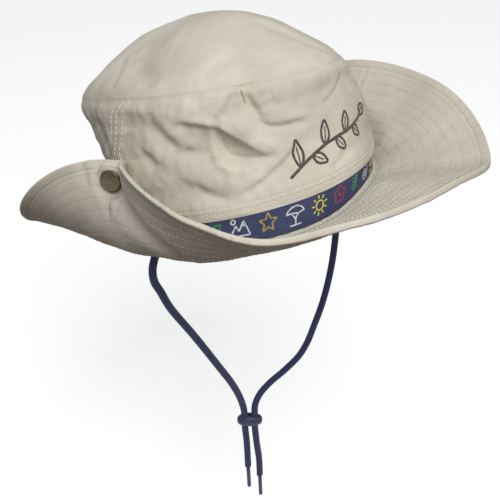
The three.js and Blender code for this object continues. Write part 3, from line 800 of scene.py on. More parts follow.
def stitch_run(points, ups, length, gap):
    """Places of the stitches along a line of points: their starts, ends and upward directions."""
    run = run_along(points)
    count = max(1, int(run[-1] / (length + gap)))
    pitch = run[-1] / count
    first = np.arange(count) * pitch + gap / 2
    last = first + pitch - gap
    ups = unit(sampled((first + last) / 2, run, ups))
    return sampled(first, run, points), sampled(last, run, points), ups


def sewn_piece(name, runs, radius, bow, dip):
    """All the stitches of one place, as one piece."""
    starts, ends, ups = (np.concatenate(part) for part in zip(*runs))
    points, faces = strand_bodies(starts, ends, ups, radius, bow, dip)
    dress(mesh_object(name, as_worn(points), faces.tolist()), stone_thread)


def wall_line(azimuth, height, lift=0.0):
    """A line on the crown's finished outer face, and its outward directions."""
    azimuth, height = np.broadcast_arrays(np.asarray(azimuth, float), np.asarray(height, float))
    out = crown_relief(azimuth, height) + lift
    here = wall_point(azimuth, height, out)
    turn = wall_point(azimuth + 0.2, height, out) - here
    rise = wall_point(azimuth, height + 0.2, out) - here
    return here, unit(np.cross(turn, rise))


# the length of a stitch and the gap to the next, for a plain row and for a lapped seam
row_stitch = (2.4, 0.6)
lap_stitch = (3.4, 0.12)
round_the_hat = np.linspace(-180, 180, 720)
crown_rows = [stitch_run(*wall_line(round_the_hat, row), *row_stitch) for row in crown_row_heights]
seam_heights = np.linspace(25, crown_height - 1.5, 60)
seam_stitches = []
for seam_side, turn in ((1, 1), (2, -1)):
    for beside in seam_rows:
        line = seam_azimuth(seam_heights, seam_side) + turn * beside / math.radians(crown_mean_radius)
        seam_stitches.append(stitch_run(*wall_line(line, seam_heights), *lap_stitch))
sewn_piece("crown_stitches", crown_rows, radius=0.25, bow=0.2, dip=0.12)
sewn_piece("crown_seam_stitches", seam_stitches, radius=0.36, bow=0.3, dip=0.05)


# A sprig of leaves is embroidered on the crown's front in dark brown satin stitch, and a short tan bar
# tack holds the fold at the right of the front, just under the tip's seam.
satin_section = [(-1.0, -0.25), (-0.82, 0.42), (-0.4, 0.86), (0.0, 1.0), (0.4, 0.86), (0.82, 0.42),
                 (1.0, -0.25), (0.0, -0.3)]
satin_pitch = 0.42


def stroke_body(points, ups, half_width, rise, section):
    """A low stroke along a line on a surface. section lists its outline as shares of width and rise."""
    along = np.gradient(points, axis=0)
    side = np.cross(along, ups)
    side /= np.linalg.norm(side, axis=-1)[:, None] + 1e-9
    section = np.asarray(section, float)
    half_width, rise = (np.broadcast_to(part, (len(points),))[:, None, None] for part in (half_width, rise))
    rings = (points[:, None] + side[:, None] * section[None, :, :1] * half_width
             + ups[:, None] * section[None, :, 1:] * rise)
    count, size = rings.shape[:2]
    faces = [(ring * size + k, (ring + 1) * size + k, (ring + 1) * size + (k + 1) % size,
              ring * size + (k + 1) % size) for ring in range(count - 1) for k in range(size)]
    faces += [tuple(range(size)), tuple((count - 1) * size + k for k in reversed(range(size)))]
    return rings.reshape(-1, 3), faces


def merged_piece(name, bodies, material):
    """Many small bodies as one piece."""
    points, faces, offset = [], [], 0
    for part_points, part_faces in bodies:
        points.append(part_points)
        faces.extend(tuple(corner + offset for corner in face) for face in part_faces)
        offset += len(part_points)
    dress(mesh_object(name, as_worn(np.concatenate(points)), faces), material)


def finer(line, spacing):
    """The points of a drawn line at equal small steps."""
    run = run_along(np.asarray(line, float))
    return sampled(np.linspace(0, run[-1], max(3, int(run[-1] / spacing) + 1)), run, line)


def satin_stroke(line, half_width, rise, pitch=satin_pitch):
    """One satin-stitched stroke on the crown: its threads lie side by side across it."""
    drawn = finer(line, pitch / 4)
    points, ups = wall_line(drawn[:, 0] / math.radians(crown_mean_radius), drawn[:, 1])
    run = np.arange(len(drawn)) / 4
    end = np.minimum(run, run[-1] - run)
    taper = np.sqrt(np.clip(end * pitch / half_width, 0.06, 1))
    threads = 0.78 + 0.22 * np.abs(np.sin(math.pi * run))
    ragged = 1 + 0.06 * np.sin(2.1 * np.floor(run)) * np.sin(0.7 * np.floor(run))
    return stroke_body(points, ups, half_width * taper * ragged, rise * threads * taper, satin_section)


def leaf_strokes(root, length, width, turn):
    """The outline and midrib of a drawn leaf."""
    share = np.linspace(0, 1, 16)
    bulge = width * np.sin(math.pi * share ** 0.85) ** 0.9
    edges = [np.stack([length * share, side * bulge], axis=1) for side in (1, -1)]
    rib = np.array([(0, 0), (0.72 * length, 0)])
    spin = np.array([(math.cos(turn), math.sin(turn)), (-math.sin(turn), math.cos(turn))])
    return [np.asarray(root) + part @ spin for part in edges], np.asarray(root) + rib @ spin


def embroidered_sprig():
    """A rising sprig with leaves by turns above and below its stem."""
    share = np.linspace(0, 1, 60)
    stem = np.stack([-33 + 70 * share, 30 + 21 * share + 3.5 * np.sin(math.pi * 1.6 * share)], axis=1)
    bodies = [satin_stroke(stem, half_width=1.0, rise=0.8)]
    for number, at in enumerate((0.13, 0.27, 0.41, 0.55, 0.69, 0.83, 1.0)):
        spot = int(at * 59)
        heading = stem[spot] - stem[spot - 3]
        side = 1 if number % 2 == 0 else -1
        lean = 0.0 if at == 1.0 else side * math.radians(58)
        turn = math.atan2(heading[1], heading[0]) + lean
        length = 17.0 - 5.0 * at if side > 0 else 12.5 - 3.0 * at
        outline, rib = leaf_strokes(stem[spot], length, 3.0, turn)
        bodies += [satin_stroke(edge, half_width=0.8, rise=0.75) for edge in outline]
        bodies.append(satin_stroke(rib, half_width=0.45, rise=0.45))
    return bodies


brown_thread = thread_material("brown_thread", (0.05, 0.033, 0.03), (0.15, 0.105, 0.095))
tan_thread = thread_material("tan_thread", (0.3, 0.26, 0.17), (0.5, 0.44, 0.31))
merged_piece("embroidered_sprig", embroidered_sprig(), brown_thread)
tack_line = [(azimuth * math.radians(crown_mean_radius), height)
             for azimuth, height in ((-30.9, 84.5), (-30.2, 77))]
merged_piece("bar_tack", [satin_stroke(tack_line, half_width=0.8, rise=0.5, pitch=0.5)], tan_thread)


# The domed tip is one oval piece of the same twill, with a few soft creases. It is sewn into the crown's
# rim and topstitched round it.
dome_height = 38.4
dome_fullness = 1.84
apex_left = 8.1
apex_forward = 4.3
tip_mean_radius = 84.0
tip_row_share = 0.965
# depth, lip, width, then the line by azimuth and share of the way from the middle to the seam
tip_creases = [
    (-3.2, 0, 21.0, [(-92, 1.12), (-101, 0.98), (-109, 0.84), (-116, 0.68), (-126, 0.46)]),
    (1.3, 0.2, 6.0, [(-96, 0.64), (-87, 0.62), (-79, 0.63), (-70, 0.66)]),
    (2.3, 0.3, 7.0, [(-90, 0.72), (-82, 0.79), (-75, 0.86), (-69, 0.95)]),
    (0.5, 0.5, 2.4, [(-108, 0.69), (-100, 0.78), (-95, 0.88), (-92, 0.99)]),
    (0.9, 1.0, 5.0, [(6, 0.42), (12, 0.6), (17, 0.76), (27, 0.97)]),
    (0.7, 0.5, 4.0, [(-48, 0.95), (-40, 0.85), (-30, 0.8)]),
    (0.8, 0.6, 4.5, [(60, 0.75), (80, 0.8), (96, 0.92)]),
    (0.8, 0.6, 4.5, [(150, 0.6), (165, 0.75), (185, 0.9)]),
    (0.8, 0.6, 4.5, [(-150, 0.9), (-135, 0.8), (-128, 0.65)]),
]


def tip_point(azimuth, share, over=0.0):
    """Points of the tip: share 1 is its seam, 0 its middle; over moves them out from the cloth."""
    azimuth, share, over = np.broadcast_arrays(azimuth, share, over)
    rim = wall_point(azimuth, np.full(azimuth.shape, crown_height), np.minimum(over, 0))
    middle = np.array([table_value(crown_sections, 3, crown_height),
                       table_value(crown_sections, 4, crown_height), crown_height])
    point = middle + (rim - middle) * share[..., None]
    point[..., 0] += apex_left * (1 - share ** 2)
    point[..., 1] -= apex_forward * (1 - share ** 2)
    point[..., 2] += (dome_height + np.minimum(over, 0)) * (1 - share ** dome_fullness) + np.maximum(over, 0)
    return point


def tip_dents(point, share):
    """Soft dents, creases and the sewn-in rim of the tip's cloth."""
    creases = []
    for depth, rise, width, line in tip_creases:
        spots = tip_point(*np.array(line, float).T)
        creases.append((depth, rise, width, spots[:, :2]))
    dents = 0.8 * drift(point, size=62, seed=21) * (1 - share ** 4)
    dents = dents + 0.22 * drift(point, size=20, seed=22) * (1 - share ** 8)
    dents = dents + crease_rise(point[..., 0], point[..., 1], creases) * (1 - share ** 20)
    inward = (1 - share) * tip_mean_radius
    swell = 1.0 * np.sin(math.pi * np.clip(inward / 16, 0, 1) ** 0.7) ** 1.3
    swell = swell + 0.28 * drift(point, size=9, seed=25) * np.exp(-((inward - 5) / 4) ** 2)
    return dents + swell - 0.12 * np.exp(-(inward / 1.0) ** 2) - 0.05 * np.exp(-((inward - 4.2) / 0.8) ** 2)


def crown_tip(columns, rings):
    """The dome, with its seam drawn in and its dents."""
    angle = np.linspace(-180, 180, columns + 1)
    share = np.linspace(1, 0, rings) ** 0.85
    azimuth, part = np.meshgrid(angle, share, indexing="ij")
    flat = tip_point(azimuth, part)
    outside = tip_point(azimuth, part, 0.0)
    outside[..., 2] += tip_dents(flat, part) - 0.1 * (part > 0.9999)
    inside = tip_point(azimuth, part, -wall_thickness)
    inside[..., 2] += tip_dents(flat, part) - 0.3
    weave_turn = np.array(Matrix.Rotation(math.radians(-20), 2))
    tip = shell("crown_tip_cloth", outside[:-1], inside[:-1], flat[..., :2] @ weave_turn, loop=True)
    tip_cloth = stone_twill("tip_twill", wales=0.5, lean=-0.9, depth=0.00012, shown=0.2)
    dress(tip, tip_cloth, "crown_tip")


crown_tip(columns=360, rings=56)


def tip_line(azimuth, share):
    """A line on the tip's outer face, and its upward directions."""
    azimuth, share = np.broadcast_arrays(np.asarray(azimuth, float), np.asarray(share, float))
    raised = lambda a, s: tip_point(a, s) + np.stack([0 * a, 0 * a, tip_dents(tip_point(a, s), s)], axis=-1)
    here = raised(azimuth, share)
    return here, unit(np.cross(raised(azimuth + 0.2, share) - here, raised(azimuth, share - 0.004) - here))


sewn_piece("tip_stitches", [stitch_run(*tip_line(round_the_hat, tip_row_share), *row_stitch)],
           radius=0.15, bow=0.07, dip=0.12)


# The band is a navy cotton ribbon round the foot of the crown, held under the crown's turned lower edge
# and printed with a row of small motifs.
ribbon_low, ribbon_high = 0.7, 17.1
ribbon_belly = 0.12


def navy_ribbon():
    """Navy plain-weave ribbon; its weave's grain and painted light on the raised threads show in its colour.
    """
    material, tree, surface = new_material("navy_ribbon")
    weave = place_group(tree, twill_wales, Place=cloth_place(tree), Wales_Per_Mm=1.4, Lean=0.3)
    wash = place_group(tree, wash_clouds, Cloud_Size=60.0)
    mixed = reckon(tree, "MULTIPLY_ADD", wash.outputs["Cloud"], 0.5,
                   reckon(tree, "MULTIPLY", weave.outputs["Shade"], 0.5))
    colour = shade_ramp(tree, mixed, [(0.3, (0.024, 0.032, 0.085)), (0.7, (0.055, 0.07, 0.16))])
    finish(tree, surface, colour, 0.8, weave.outputs["Height"], strength=0.5, distance=0.00015)
    return material


def ribbon_face(height):
    """How far the ribbon's face stands out from the crown: it bellies between its two edges."""
    across = (height - ribbon_low) / (ribbon_high - ribbon_low)
    return band_gap + band_thickness + ribbon_belly * np.sin(np.pi * across)


def hat_band(columns):
    """The ribbon: a closed flat loop with softened edges."""
    angle = np.linspace(-180, 180, columns + 1)
    azimuth, high = np.meshgrid(angle, np.linspace(ribbon_low, ribbon_high, 16), indexing="ij")
    edge = 0.2 * (1 - smooth_share(np.minimum(high - ribbon_low, ribbon_high - high), 0, 0.8))
    outside = wall_point(azimuth, high, ribbon_face(high) - edge)
    inside = wall_point(azimuth, high, band_gap)
    places = np.stack([azimuth * math.radians(crown_mean_radius), high], axis=-1)
    band = shell("hat_band_ribbon", outside[:-1], inside[:-1], places, loop=True)
    dress(band, navy_ribbon(), "hat_band")


hat_band(columns=480)


# The ribbon is printed with a border of small drawn motifs, one after another round the crown. They are
# thin lines of textile ink in five flat colours.
printed_section = [(-1.0, -0.5), (-0.8, 1.0), (0.8, 1.0), (1.0, -0.5)]
motif_count = 33
motif_middle = 9.4
motif_scale = 1.08
print_half_width, print_rise = 0.5, 0.05


def drawn_arc(middle, radius, start, stop):
    """Points of an arc, with its angles in degrees."""
    turn = np.radians(np.linspace(start, stop, max(6, int(abs(stop - start) / 15))))
    return np.stack([middle[0] + radius * np.cos(turn), middle[1] + radius * np.sin(turn)], axis=1)


def drawn_motifs():
    """The lines of each motif, about 10 mm high, round its own middle."""
    around = lambda count, phase: [phase + 2 * math.pi * k / count for k in range(count)]
    ray = lambda turn, near, far: [(near * math.cos(turn), near * math.sin(turn)),
                                   (far * math.cos(turn), far * math.sin(turn))]
    sun = [drawn_arc((0, 0), 2.4, 0, 360)] + [ray(turn, 3.4, 5.2) for turn in around(9, 0.3)]
    tree = [[(-5.2, 0.8), (-4.2, 2.6), (-2, 3.9), (1, 4.3), (3.8, 3.2), (5.3, 1.2), (2, 0.4), (-2, 1.0),
             (-5.2, 0.8)],
            [(0.4, -5.2), (0.1, -2), (-2.2, 0.8)], [(0.1, -2), (1.8, 0.4)], [(-3, -5.2), (3.6, -5.1)]]
    outline, rib = leaf_strokes((-4.4, -3.6), 11.5, 2.7, math.radians(40))
    veins = [(-2.6 + 2 * k, -2.1 + 1.7 * k) for k in range(3)]
    leaf = outline + [rib] + [[(x, y), (x, y + 1.8)] for x, y in veins]
    hills = [[(-5.6, -3.8), (-2.6, 1.8), (-0.8, -1.2), (1.8, 3.8), (5.6, -3.8), (-5.6, -3.8)],
             drawn_arc((-4.0, 3.9), 1.2, 0, 360), [(0.9, 2.1), (1.9, 1.1), (2.8, 2.0)]]
    flower = [drawn_arc((3.0 * math.cos(turn), 3.0 * math.sin(turn)), 1.75, math.degrees(turn) - 120,
                        math.degrees(turn) + 120) for turn in around(5, 0.3)]
    flower.append(drawn_arc((0, 0), 1.0, 0, 360))
    swirl = np.linspace(0, 4.4 * math.pi, 60)
    spiral = [np.stack([(0.5 + 0.33 * swirl) * np.cos(swirl), (0.5 + 0.33 * swirl) * np.sin(swirl)], axis=1)]
    corners = [(reach * math.cos(turn), reach * math.sin(turn))
               for turn, reach in zip(around(10, math.pi / 2), [5.2, 2.3] * 5)]
    star = [corners + corners[:1]]
    joints = [(-0.9 + 0.35 * k, -3.2 + 2 * k) for k in range(4)]
    reed = [[(-1, -5), (-0.6, 0), (0.8, 5)]]
    reed += [[(x, y), (x + side * 3.2, y + 1.8)] for x, y in joints for side in (1, -1)]
    return {"sun": sun, "tree": tree, "leaf": leaf, "hills": hills, "flower": flower, "spiral": spiral,
            "star": star, "reed": reed}


def band_line(azimuth, height):
    """A line on the ribbon's face, and its outward directions."""
    here = wall_point(azimuth, height, ribbon_face(height))
    return here, unit(wall_point(azimuth, height, ribbon_face(height) + 1) - here)


def print_material(name, colour):
    """Flat textile ink, slightly broken up by the ribbon's weave."""
    material, tree, surface = new_material(name)
    faded = tuple(0.55 * part + 0.02 for part in colour)
    tint = shade_ramp(tree, solid_noise(tree, 700.0, 2.0), [(0.3, faded), (0.5, colour)])
    feed(tree, surface.inputs["Base Color"], tint)
    feed(tree, surface.inputs["Roughness"], 0.75)
    return material


def printed_motifs():
    """The border: each ink's motifs are one piece."""
    inks = {"white": (0.62, 0.64, 0.7), "yellow": (0.72, 0.6, 0.04), "green": (0.03, 0.3, 0.14),
            "red": (0.36, 0.04, 0.07), "gold": (0.4, 0.27, 0.08)}
    order = [("leaf", "green"), ("hills", "white"), ("star", "gold"), ("tree", "white"), ("sun", "yellow"),
             ("flower", "red"), ("reed", "green"), ("spiral", "white"), ("tree", "yellow"), ("leaf", "red"),
             ("flower", "gold")]
    motifs = drawn_motifs()
    bodies = {ink: [] for ink in inks}
    for number in range(motif_count):
        shape, ink = order[number % len(order)]
        middle = -180 + (number + 0.5) * 360 / motif_count
        for line in motifs[shape]:
            drawn = finer(line, 0.5)
            azimuth = middle + drawn[:, 0] * motif_scale / math.radians(crown_mean_radius)
            points, ups = band_line(azimuth, motif_middle + motif_scale * drawn[:, 1])
            bodies[ink].append(stroke_body(points, ups, print_half_width, print_rise, printed_section))
    for ink, colour in inks.items():
        merged_piece(f"band_print_{ink}", bodies[ink], print_material(f"ink_{ink}", colour))


printed_motifs()


# The brim is two layers of the twill over a stiffener, sewn together with rows of stitches. Its right
# side is folded up and snapped to the crown, and its left side lifts a little.
brim_width = 75.0
brim_thickness = 2.4
brim_root_offset = 1.9
brim_fold = 2.2
hem_width = 6.4
brim_row_spacing = 7.7
brim_seams = (-86, 90)
# azimuth, slope at the root, slope at the edge
brim_slopes = [
    (-180, 3, -0.9), (-150, -2.1, 11.6), (-125, 1.4, 48), (-105, 9.6, 101.8), (-90, 8, 129.6),
    (-75, 4.2, 111.6), (-55, -15.5, 79.3), (-35, -4.5, 32.3), (-15, 4.2, 19.1), (10, 6.8, 7.6),
    (40, 3.2, -8), (70, 25, 27.6), (100, 43.5, 51), (130, 19.5, 19.3), (155, 5.8, 0.2),
]
# depth, lip, width, then the line by azimuth and distance from the root: three pleats beside the snap,
# the bend where the folded side turns down, a swell of its edge, and a bend on the left
brim_creases = [
    (1.0, 0.6, 2.4, [(-102.5, 80), (-102, 74), (-101, 64), (-100, 56)]),
    (1.5, 0.9, 3.2, [(-98.5, 80), (-98, 72.5), (-95.5, 58.5), (-92, 46), (-90, 34)]),
    (0.7, 0.5, 2.2, [(-95, 80), (-94.5, 73.5), (-91.5, 67), (-89.5, 60)]),
    (7.6, 0, 8.8, [(-98, 84), (-93.5, 73), (-90, 64.5), (-83.5, 52), (-77, 45), (-69.5, 38), (-62, 29),
                   (-56, 18)]),
    (-3.0, 0, 12.0, [(-84, 80), (-72, 79), (-58, 77), (-42, 74)]),
    (2.6, 0, 9.0, [(96, 52), (86, 40), (77, 31), (68, 24), (58, 14)]),
]
brim_first_row = 4.0
brim_rows = [brim_first_row + brim_row_spacing * row for row in range(9)]
brim_inner_radius = 90.0
brim_mean_radius = 130.0
brim_seam_clearance = 0.1


def brim_point(azimuth, distance, over=0.0):
    """Points of the brim: distance out from the root along the cloth, and height over mid-cloth."""
    azimuth, distance, over = np.broadcast_arrays(azimuth, distance, over)
    root = table_value(brim_slopes, 1, azimuth, 360)
    edge = table_value(brim_slopes, 2, azimuth, 360)
    slope_at = lambda run: np.radians(np.where(
        run < 0, root * np.clip(1 + run / 1.6, 0, 1),
        edge - (edge - root) * np.abs(1 - np.maximum(run, 0) / brim_width) ** brim_fold))
    parts = 24
    out = brim_root_offset + opening(azimuth, 1)
    up = -brim_thickness / 2 + opening(azimuth, 2)
    for part in range(parts):
        slope = slope_at((part + 0.5) / parts * distance)
        out = out + np.cos(slope) * distance / parts
        up = up + np.sin(slope) * distance / parts
    out = out - over * np.sin(slope_at(distance))
    up = up + over * np.cos(slope_at(distance))
    half_length, half_width = crown_sections[0][1:3]
    across, along, normal = oval_turn(azimuth, half_width, half_length)
    return np.stack([half_width * across + normal[..., 0] * out,
                     half_length * along + normal[..., 1] * out, up], axis=-1)


def brim_spot(azimuth, distance):
    """Where a place of the brim lies in the random fields that wave and puff it."""
    return np.stack([np.sin(np.radians(azimuth)) * 120, np.cos(np.radians(azimuth)) * 120, distance], axis=-1)


def brim_waves(azimuth, distance):
    """How far the folds and slight waves move the whole thickness of the brim."""
    per_degree = math.radians(brim_mean_radius)
    folded = crease_rise(signed_turn(azimuth) * per_degree, distance, creases_in_mm(brim_creases, per_degree))
    waved = 0.5 * drift(brim_spot(azimuth, distance), size=46, seed=41)
    return (waved - folded) * smooth_share(distance, 2, 16)


# azimuth and distance of the snap's cap on the folded brim, and the way it faces
cap_place = (-92.8, 61.3)
cap_facing = np.array([-0.87, -0.487, 0.111]) @ worn_turn
cap_middle = brim_point(*cap_place, brim_waves(*(np.array(cap_place)[:, None]))[0])


def brim_bend(azimuth, distance):
    """The brim's waves, with the cloth pressed flat under the snap's cap."""
    azimuth, distance = np.broadcast_arrays(np.asarray(azimuth, float), np.asarray(distance, float))
    waves = brim_waves(azimuth, distance)
    spot = brim_point(azimuth, distance, waves)
    lifted = brim_point(azimuth, distance, waves + 1) - spot
    pressed = np.exp(-(np.linalg.norm(spot - cap_middle, axis=-1) / 11.0) ** 6)
    return waves - pressed * ((spot - cap_middle) @ cap_facing) / np.minimum(lifted @ cap_facing, -0.3)


def brim_quilt(azimuth, distance):
    """How far a face stands out: puffed between its sewn rows, and drawn in along them."""
    quilt = 0.1 * drift(brim_spot(azimuth, distance), size=9, seed=42)
    for row in brim_rows:
        quilt = quilt - 0.11 * np.exp(-((distance - row) / 0.8) ** 2)
    for seam, depth in zip(brim_seams, (0.35, 0.1)):
        off = signed_turn(azimuth - seam) * np.radians(brim_inner_radius + distance)
        quilt = quilt - depth * (np.exp(-(off / 0.5) ** 2) + 0.6 * np.exp(-((np.abs(off) - 3.2) / 0.6) ** 2))
    return quilt


def rows_group():
    """Sewn rows round a flat ring of cloth: grooves with a needle hole at each stitch's end. Puts out their
    height, and a mask of the holes for painted shade in them.
    """
    tree, given, result = new_group(
        "sewn_rows", {"Place": None, "First Row": 94.0, "Row Spacing": 7.7, "Rows": 9.0,
                      "Stitches Round": 240.0}, ("Height", "Painted Hole Shade"))
    parts = shader_node(tree, "ShaderNodeSeparateXYZ", Vector=given.outputs["Place"])
    far = reckon(tree, "SQRT", reckon(tree, "ADD", reckon(tree, "POWER", parts.outputs["X"], 2.0),
                                      reckon(tree, "POWER", parts.outputs["Y"], 2.0)))
    rows_in = reckon(tree, "DIVIDE", reckon(tree, "SUBTRACT", far, given.outputs["First Row"]),
                     given.outputs["Row Spacing"])
    number = reckon(tree, "ROUND", rows_in)
    kept = reckon(tree, "MULTIPLY", reckon(tree, "GREATER_THAN", number, -0.5),
                  reckon(tree, "LESS_THAN", number, reckon(tree, "SUBTRACT", given.outputs["Rows"], 0.5)))
    off = reckon(tree, "MULTIPLY", reckon(tree, "SUBTRACT", rows_in, number), given.outputs["Row Spacing"])
    groove = reckon(tree, "MULTIPLY", kept, reckon(
        tree, "EXPONENT", reckon(tree, "MULTIPLY", reckon(tree, "POWER", off, 2.0), -1.6)))
    turn = reckon(tree, "DIVIDE", reckon(tree, "ARCTAN2", parts.outputs["Y"], parts.outputs["X"]),
                  2 * math.pi)
    swing = reckon(tree, "MULTIPLY",
                   reckon(tree, "MULTIPLY_ADD", number, 31.0, given.outputs["Stitches Round"]), turn)
    beat = reckon(tree, "POWER", reckon(tree, "ABSOLUTE", reckon(tree, "COSINE", reckon(
        tree, "MULTIPLY", swing, math.pi))), 8.0)
    holes = reckon(tree, "MULTIPLY", groove, beat)
    tree.links.new(holes, result.inputs["Painted Hole Shade"])
    height = reckon(tree, "SUBTRACT", reckon(tree, "MULTIPLY", groove, -0.12),
                    reckon(tree, "MULTIPLY", holes, 0.4))
    tree.links.new(height, result.inputs["Height"])
    return tree


sewn_rows = rows_group()


def brim_twill():
    """The stone twill of the brim, with its needle holes sunk in its relief and darkened in its colour as
    painted shade.
    """
    material = stone_twill("brim_twill", wales=0.37, lean=-1.26, depth=0.0003)
    tree = material.node_tree
    surface = tree.nodes["Principled BSDF"]
    rows = place_group(tree, sewn_rows, Place=cloth_place(tree), Row_Spacing=brim_row_spacing,
                       First_Row=brim_inner_radius + brim_first_row)
    plain = surface.inputs["Base Color"].links[0].from_socket
    # The mix darkens the colour at the needle holes: painted shade where the cloth sinks in.
    shaded = shader_node(tree, "ShaderNodeMix")
    shaded.data_type = "RGBA"
    shaded.blend_type = "MULTIPLY"
    tree.links.new(reckon(tree, "MULTIPLY", rows.outputs["Painted Hole Shade"], 0.28), shaded.inputs[0])
    tree.links.new(plain, shaded.inputs[6])
    shaded.inputs[7].default_value = (0.42, 0.37, 0.3, 1)
    tree.links.new(shaded.outputs[2], surface.inputs["Base Color"])
    weave = surface.inputs["Normal"].links[0].from_node
    sunk = shader_node(tree, "ShaderNodeBump", Height=rows.outputs["Height"], Strength=0.8, Distance=0.0006,
                       Normal=weave.outputs["Normal"])
    tree.links.new(sunk.outputs["Normal"], surface.inputs["Normal"])
    return material


brim_cloth = brim_twill()


def brim_panel(name, node, columns, rows, low, high):
    """Half of the brim from its root to the hem, quilted on both faces."""
    outer = brim_width - hem_width + 0.3
    angle = np.linspace(low + brim_seam_clearance, high - brim_seam_clearance, columns + 1)
    runs = np.concatenate([[-3.4, -2.4, -1.4, -0.6], np.linspace(0, outer, rows + 1)])
    azimuth, distance = np.meshgrid(angle, runs, indexing="ij")
    quilt = brim_quilt(azimuth, distance) * (distance > 0)
    bend = brim_bend(azimuth, distance)
    half = brim_thickness / 2
    ridge = 0.7 * np.exp(-((distance - 0.7) / 0.9) ** 2) - 0.2 * (distance < -0.3)
    ends = 0.15 * (1 - smooth_share(outer - distance, 0, 1.2))
    upper = brim_point(azimuth, distance, bend + half + quilt + ridge - ends)
    under = brim_point(azimuth, distance, bend - half - 0.8 * quilt + ends)
    places = np.stack([np.sin(np.radians(azimuth)) * (brim_inner_radius + distance),
                       -np.cos(np.radians(azimuth)) * (brim_inner_radius + distance)], axis=-1)
    dress(shell(name, upper, under, places), brim_cloth, node)


right_seam, left_seam = brim_seams
brim_panel("brim_front_cloth", "brim_front", columns=240, rows=84, low=right_seam, high=left_seam)
brim_panel("brim_back_cloth", "brim_back", columns=220, rows=84, low=left_seam, high=right_seam + 360)


def brim_line(azimuth, distance, face):
    """A line on a face of the brim, 1 the upper and -1 the lower, and its directions away from it."""
    azimuth, distance = np.broadcast_arrays(np.asarray(azimuth, float), np.asarray(distance, float))
    over = brim_bend(azimuth, distance) + face * (brim_thickness / 2 + brim_quilt(azimuth, distance))
    here = brim_point(azimuth, distance, over)
    return here, unit(brim_point(azimuth, distance, over + face) - here)


brim_stitch = (2.3, 0.9)
brim_runs = np.linspace(3, brim_width - hem_width - 1, 60)
for face, word in ((1, "upper"), (-1, "lower")):
    sewn_piece(f"brim_stitches_{word}",
               [stitch_run(*brim_line(round_the_hat, row, face), *brim_stitch) for row in brim_rows]
               + [stitch_run(*brim_line(seam + beside / 2.2, brim_runs, face), *row_stitch)
                  for seam in brim_seams for beside in (-3.2, 3.2)],
               radius=0.18, bow=0.1, dip=0.12)


# The brim's edge is folded twice into a thick hem of the same twill. One line of sewing draws it in round
# each face.
hem_thickness = 4.2
hem_mean_radius = 150.0


def brim_hem(columns, points):
    """The rolled hem: a rounded flat section with a sewn groove on each face."""
    start = brim_width - hem_width
    turn = np.linspace(0, 2 * math.pi, points, endpoint=False)
    middle = (start + brim_width) / 2
    across = np.sign(np.cos(turn)) * np.abs(np.cos(turn)) ** 0.45 * hem_width / 2
    thick = np.sign(np.sin(turn)) * np.abs(np.sin(turn)) ** 0.6 * hem_thickness / 2
    groove = 0.5 * np.exp(-((across + 0.2) / 0.7) ** 2)
    thick = np.sign(thick) * np.maximum(np.abs(thick) - groove, 0.1)
    thick = thick * (0.6 + 0.4 * smooth_share(across, -hem_width / 2, 0.5))
    angle = np.linspace(-180, 180, columns + 1)
    azimuth, run = np.meshgrid(angle, across, indexing="ij")
    unrolled = np.stack([np.radians(azimuth) * hem_mean_radius, run, 0 * run], axis=-1)
    puff = 1 + 0.05 * drift(unrolled, size=9, seed=51)
    rings = brim_point(azimuth, middle + run, brim_bend(azimuth, middle + run) + thick[None] * puff)
    places = spread(angle[:, None] * math.radians(hem_mean_radius), np.linspace(0, 18, points + 1)[None])
    hem = ring_mesh("brim_hem_cloth", as_worn(rings[:-1]), places, loop=True)
    dress(hem, brim_cloth, "brim_hem")


brim_hem(columns=480, points=32)


# The snap is antique brass. Its domed cap sits on the outside of the folded brim, and its stud holds the
# brim to the crown.
snap_azimuth = -89.5
snap_distance = 60.0
snap_diameter = 15.0
cap_gap = 0.3
cap_lift = 0.5
stud_diameter = 6.5
stud_margin = 2.4


def antique_brass():
    """Darkened brass, rubbed brighter on its high parts."""
    material, tree, surface = new_material("antique_brass")
    tarnish = solid_noise(tree, 420.0, 5.0)
    rubbed = shader_node(tree, "ShaderNodeNewGeometry")
    edge = reckon(tree, "MULTIPLY_ADD", rubbed.outputs["Pointiness"], 5.0, -2.3)
    mixed = reckon(tree, "MULTIPLY_ADD", tarnish, 0.6, reckon(tree, "MULTIPLY", edge, 0.5))
    colour = shade_ramp(tree, mixed, [(0.25, (0.1, 0.085, 0.055)), (0.6, (0.2, 0.165, 0.105)),
                                      (0.95, (0.5, 0.42, 0.28))])
    surface.inputs["Metallic"].default_value = 1.0
    rough = reckon(tree, "MULTIPLY_ADD", tarnish, 0.3, 0.3)
    finish(tree, surface, colour, rough, tarnish, strength=0.1, distance=0.0001)
    return material


def turned_piece(name, node, profile, foot, axis):
    """A turned piece on an axis, from its profile of radius and height."""
    profile = np.asarray(profile, float)
    angle = np.linspace(0, 2 * math.pi, 73)
    places = spread(angle[:, None] * 6, np.append(profile[:, 0], 0)[None])
    piece = ring_mesh(name, as_worn(turned_rings(profile, foot, axis, angle)), places, loop=True)
    dress(piece, brass, node)


brass = antique_brass()
snap_axis = unit(brim_point(snap_azimuth, snap_distance, -1.0) - brim_point(snap_azimuth, snap_distance))
cap_seat = brim_point(*cap_place, brim_bend(*cap_place) - brim_thickness / 2 - cap_gap)
cap_seat = cap_seat + cap_lift * cap_facing
rim = snap_diameter / 2
domed = [((rim - 0.35) * math.cos(angle), 1.35 + 1.3 * math.sin(angle))
         for angle in np.linspace(0.12, 1.5, 14)]
turned_piece("snap_cap_brass", "snap_cap", [
    (0, 0), (rim - 0.7, 0), (rim - 0.2, 0.2), (rim, 0.65), (rim - 0.08, 1.1)] + domed + [(0, 2.65)],
    cap_seat, cap_facing)


def stud_length(start, direction):
    """How far the stud runs inward before it meets the crown's wall."""
    reach = 0.0
    while True:
        spot = start + reach * direction
        wall = wall_point(math.degrees(math.atan2(spot[0], -spot[1])), spot[2])
        if math.hypot(spot[0], spot[1]) - math.hypot(wall[0], wall[1]) <= stud_margin:
            return reach
        reach += 0.1


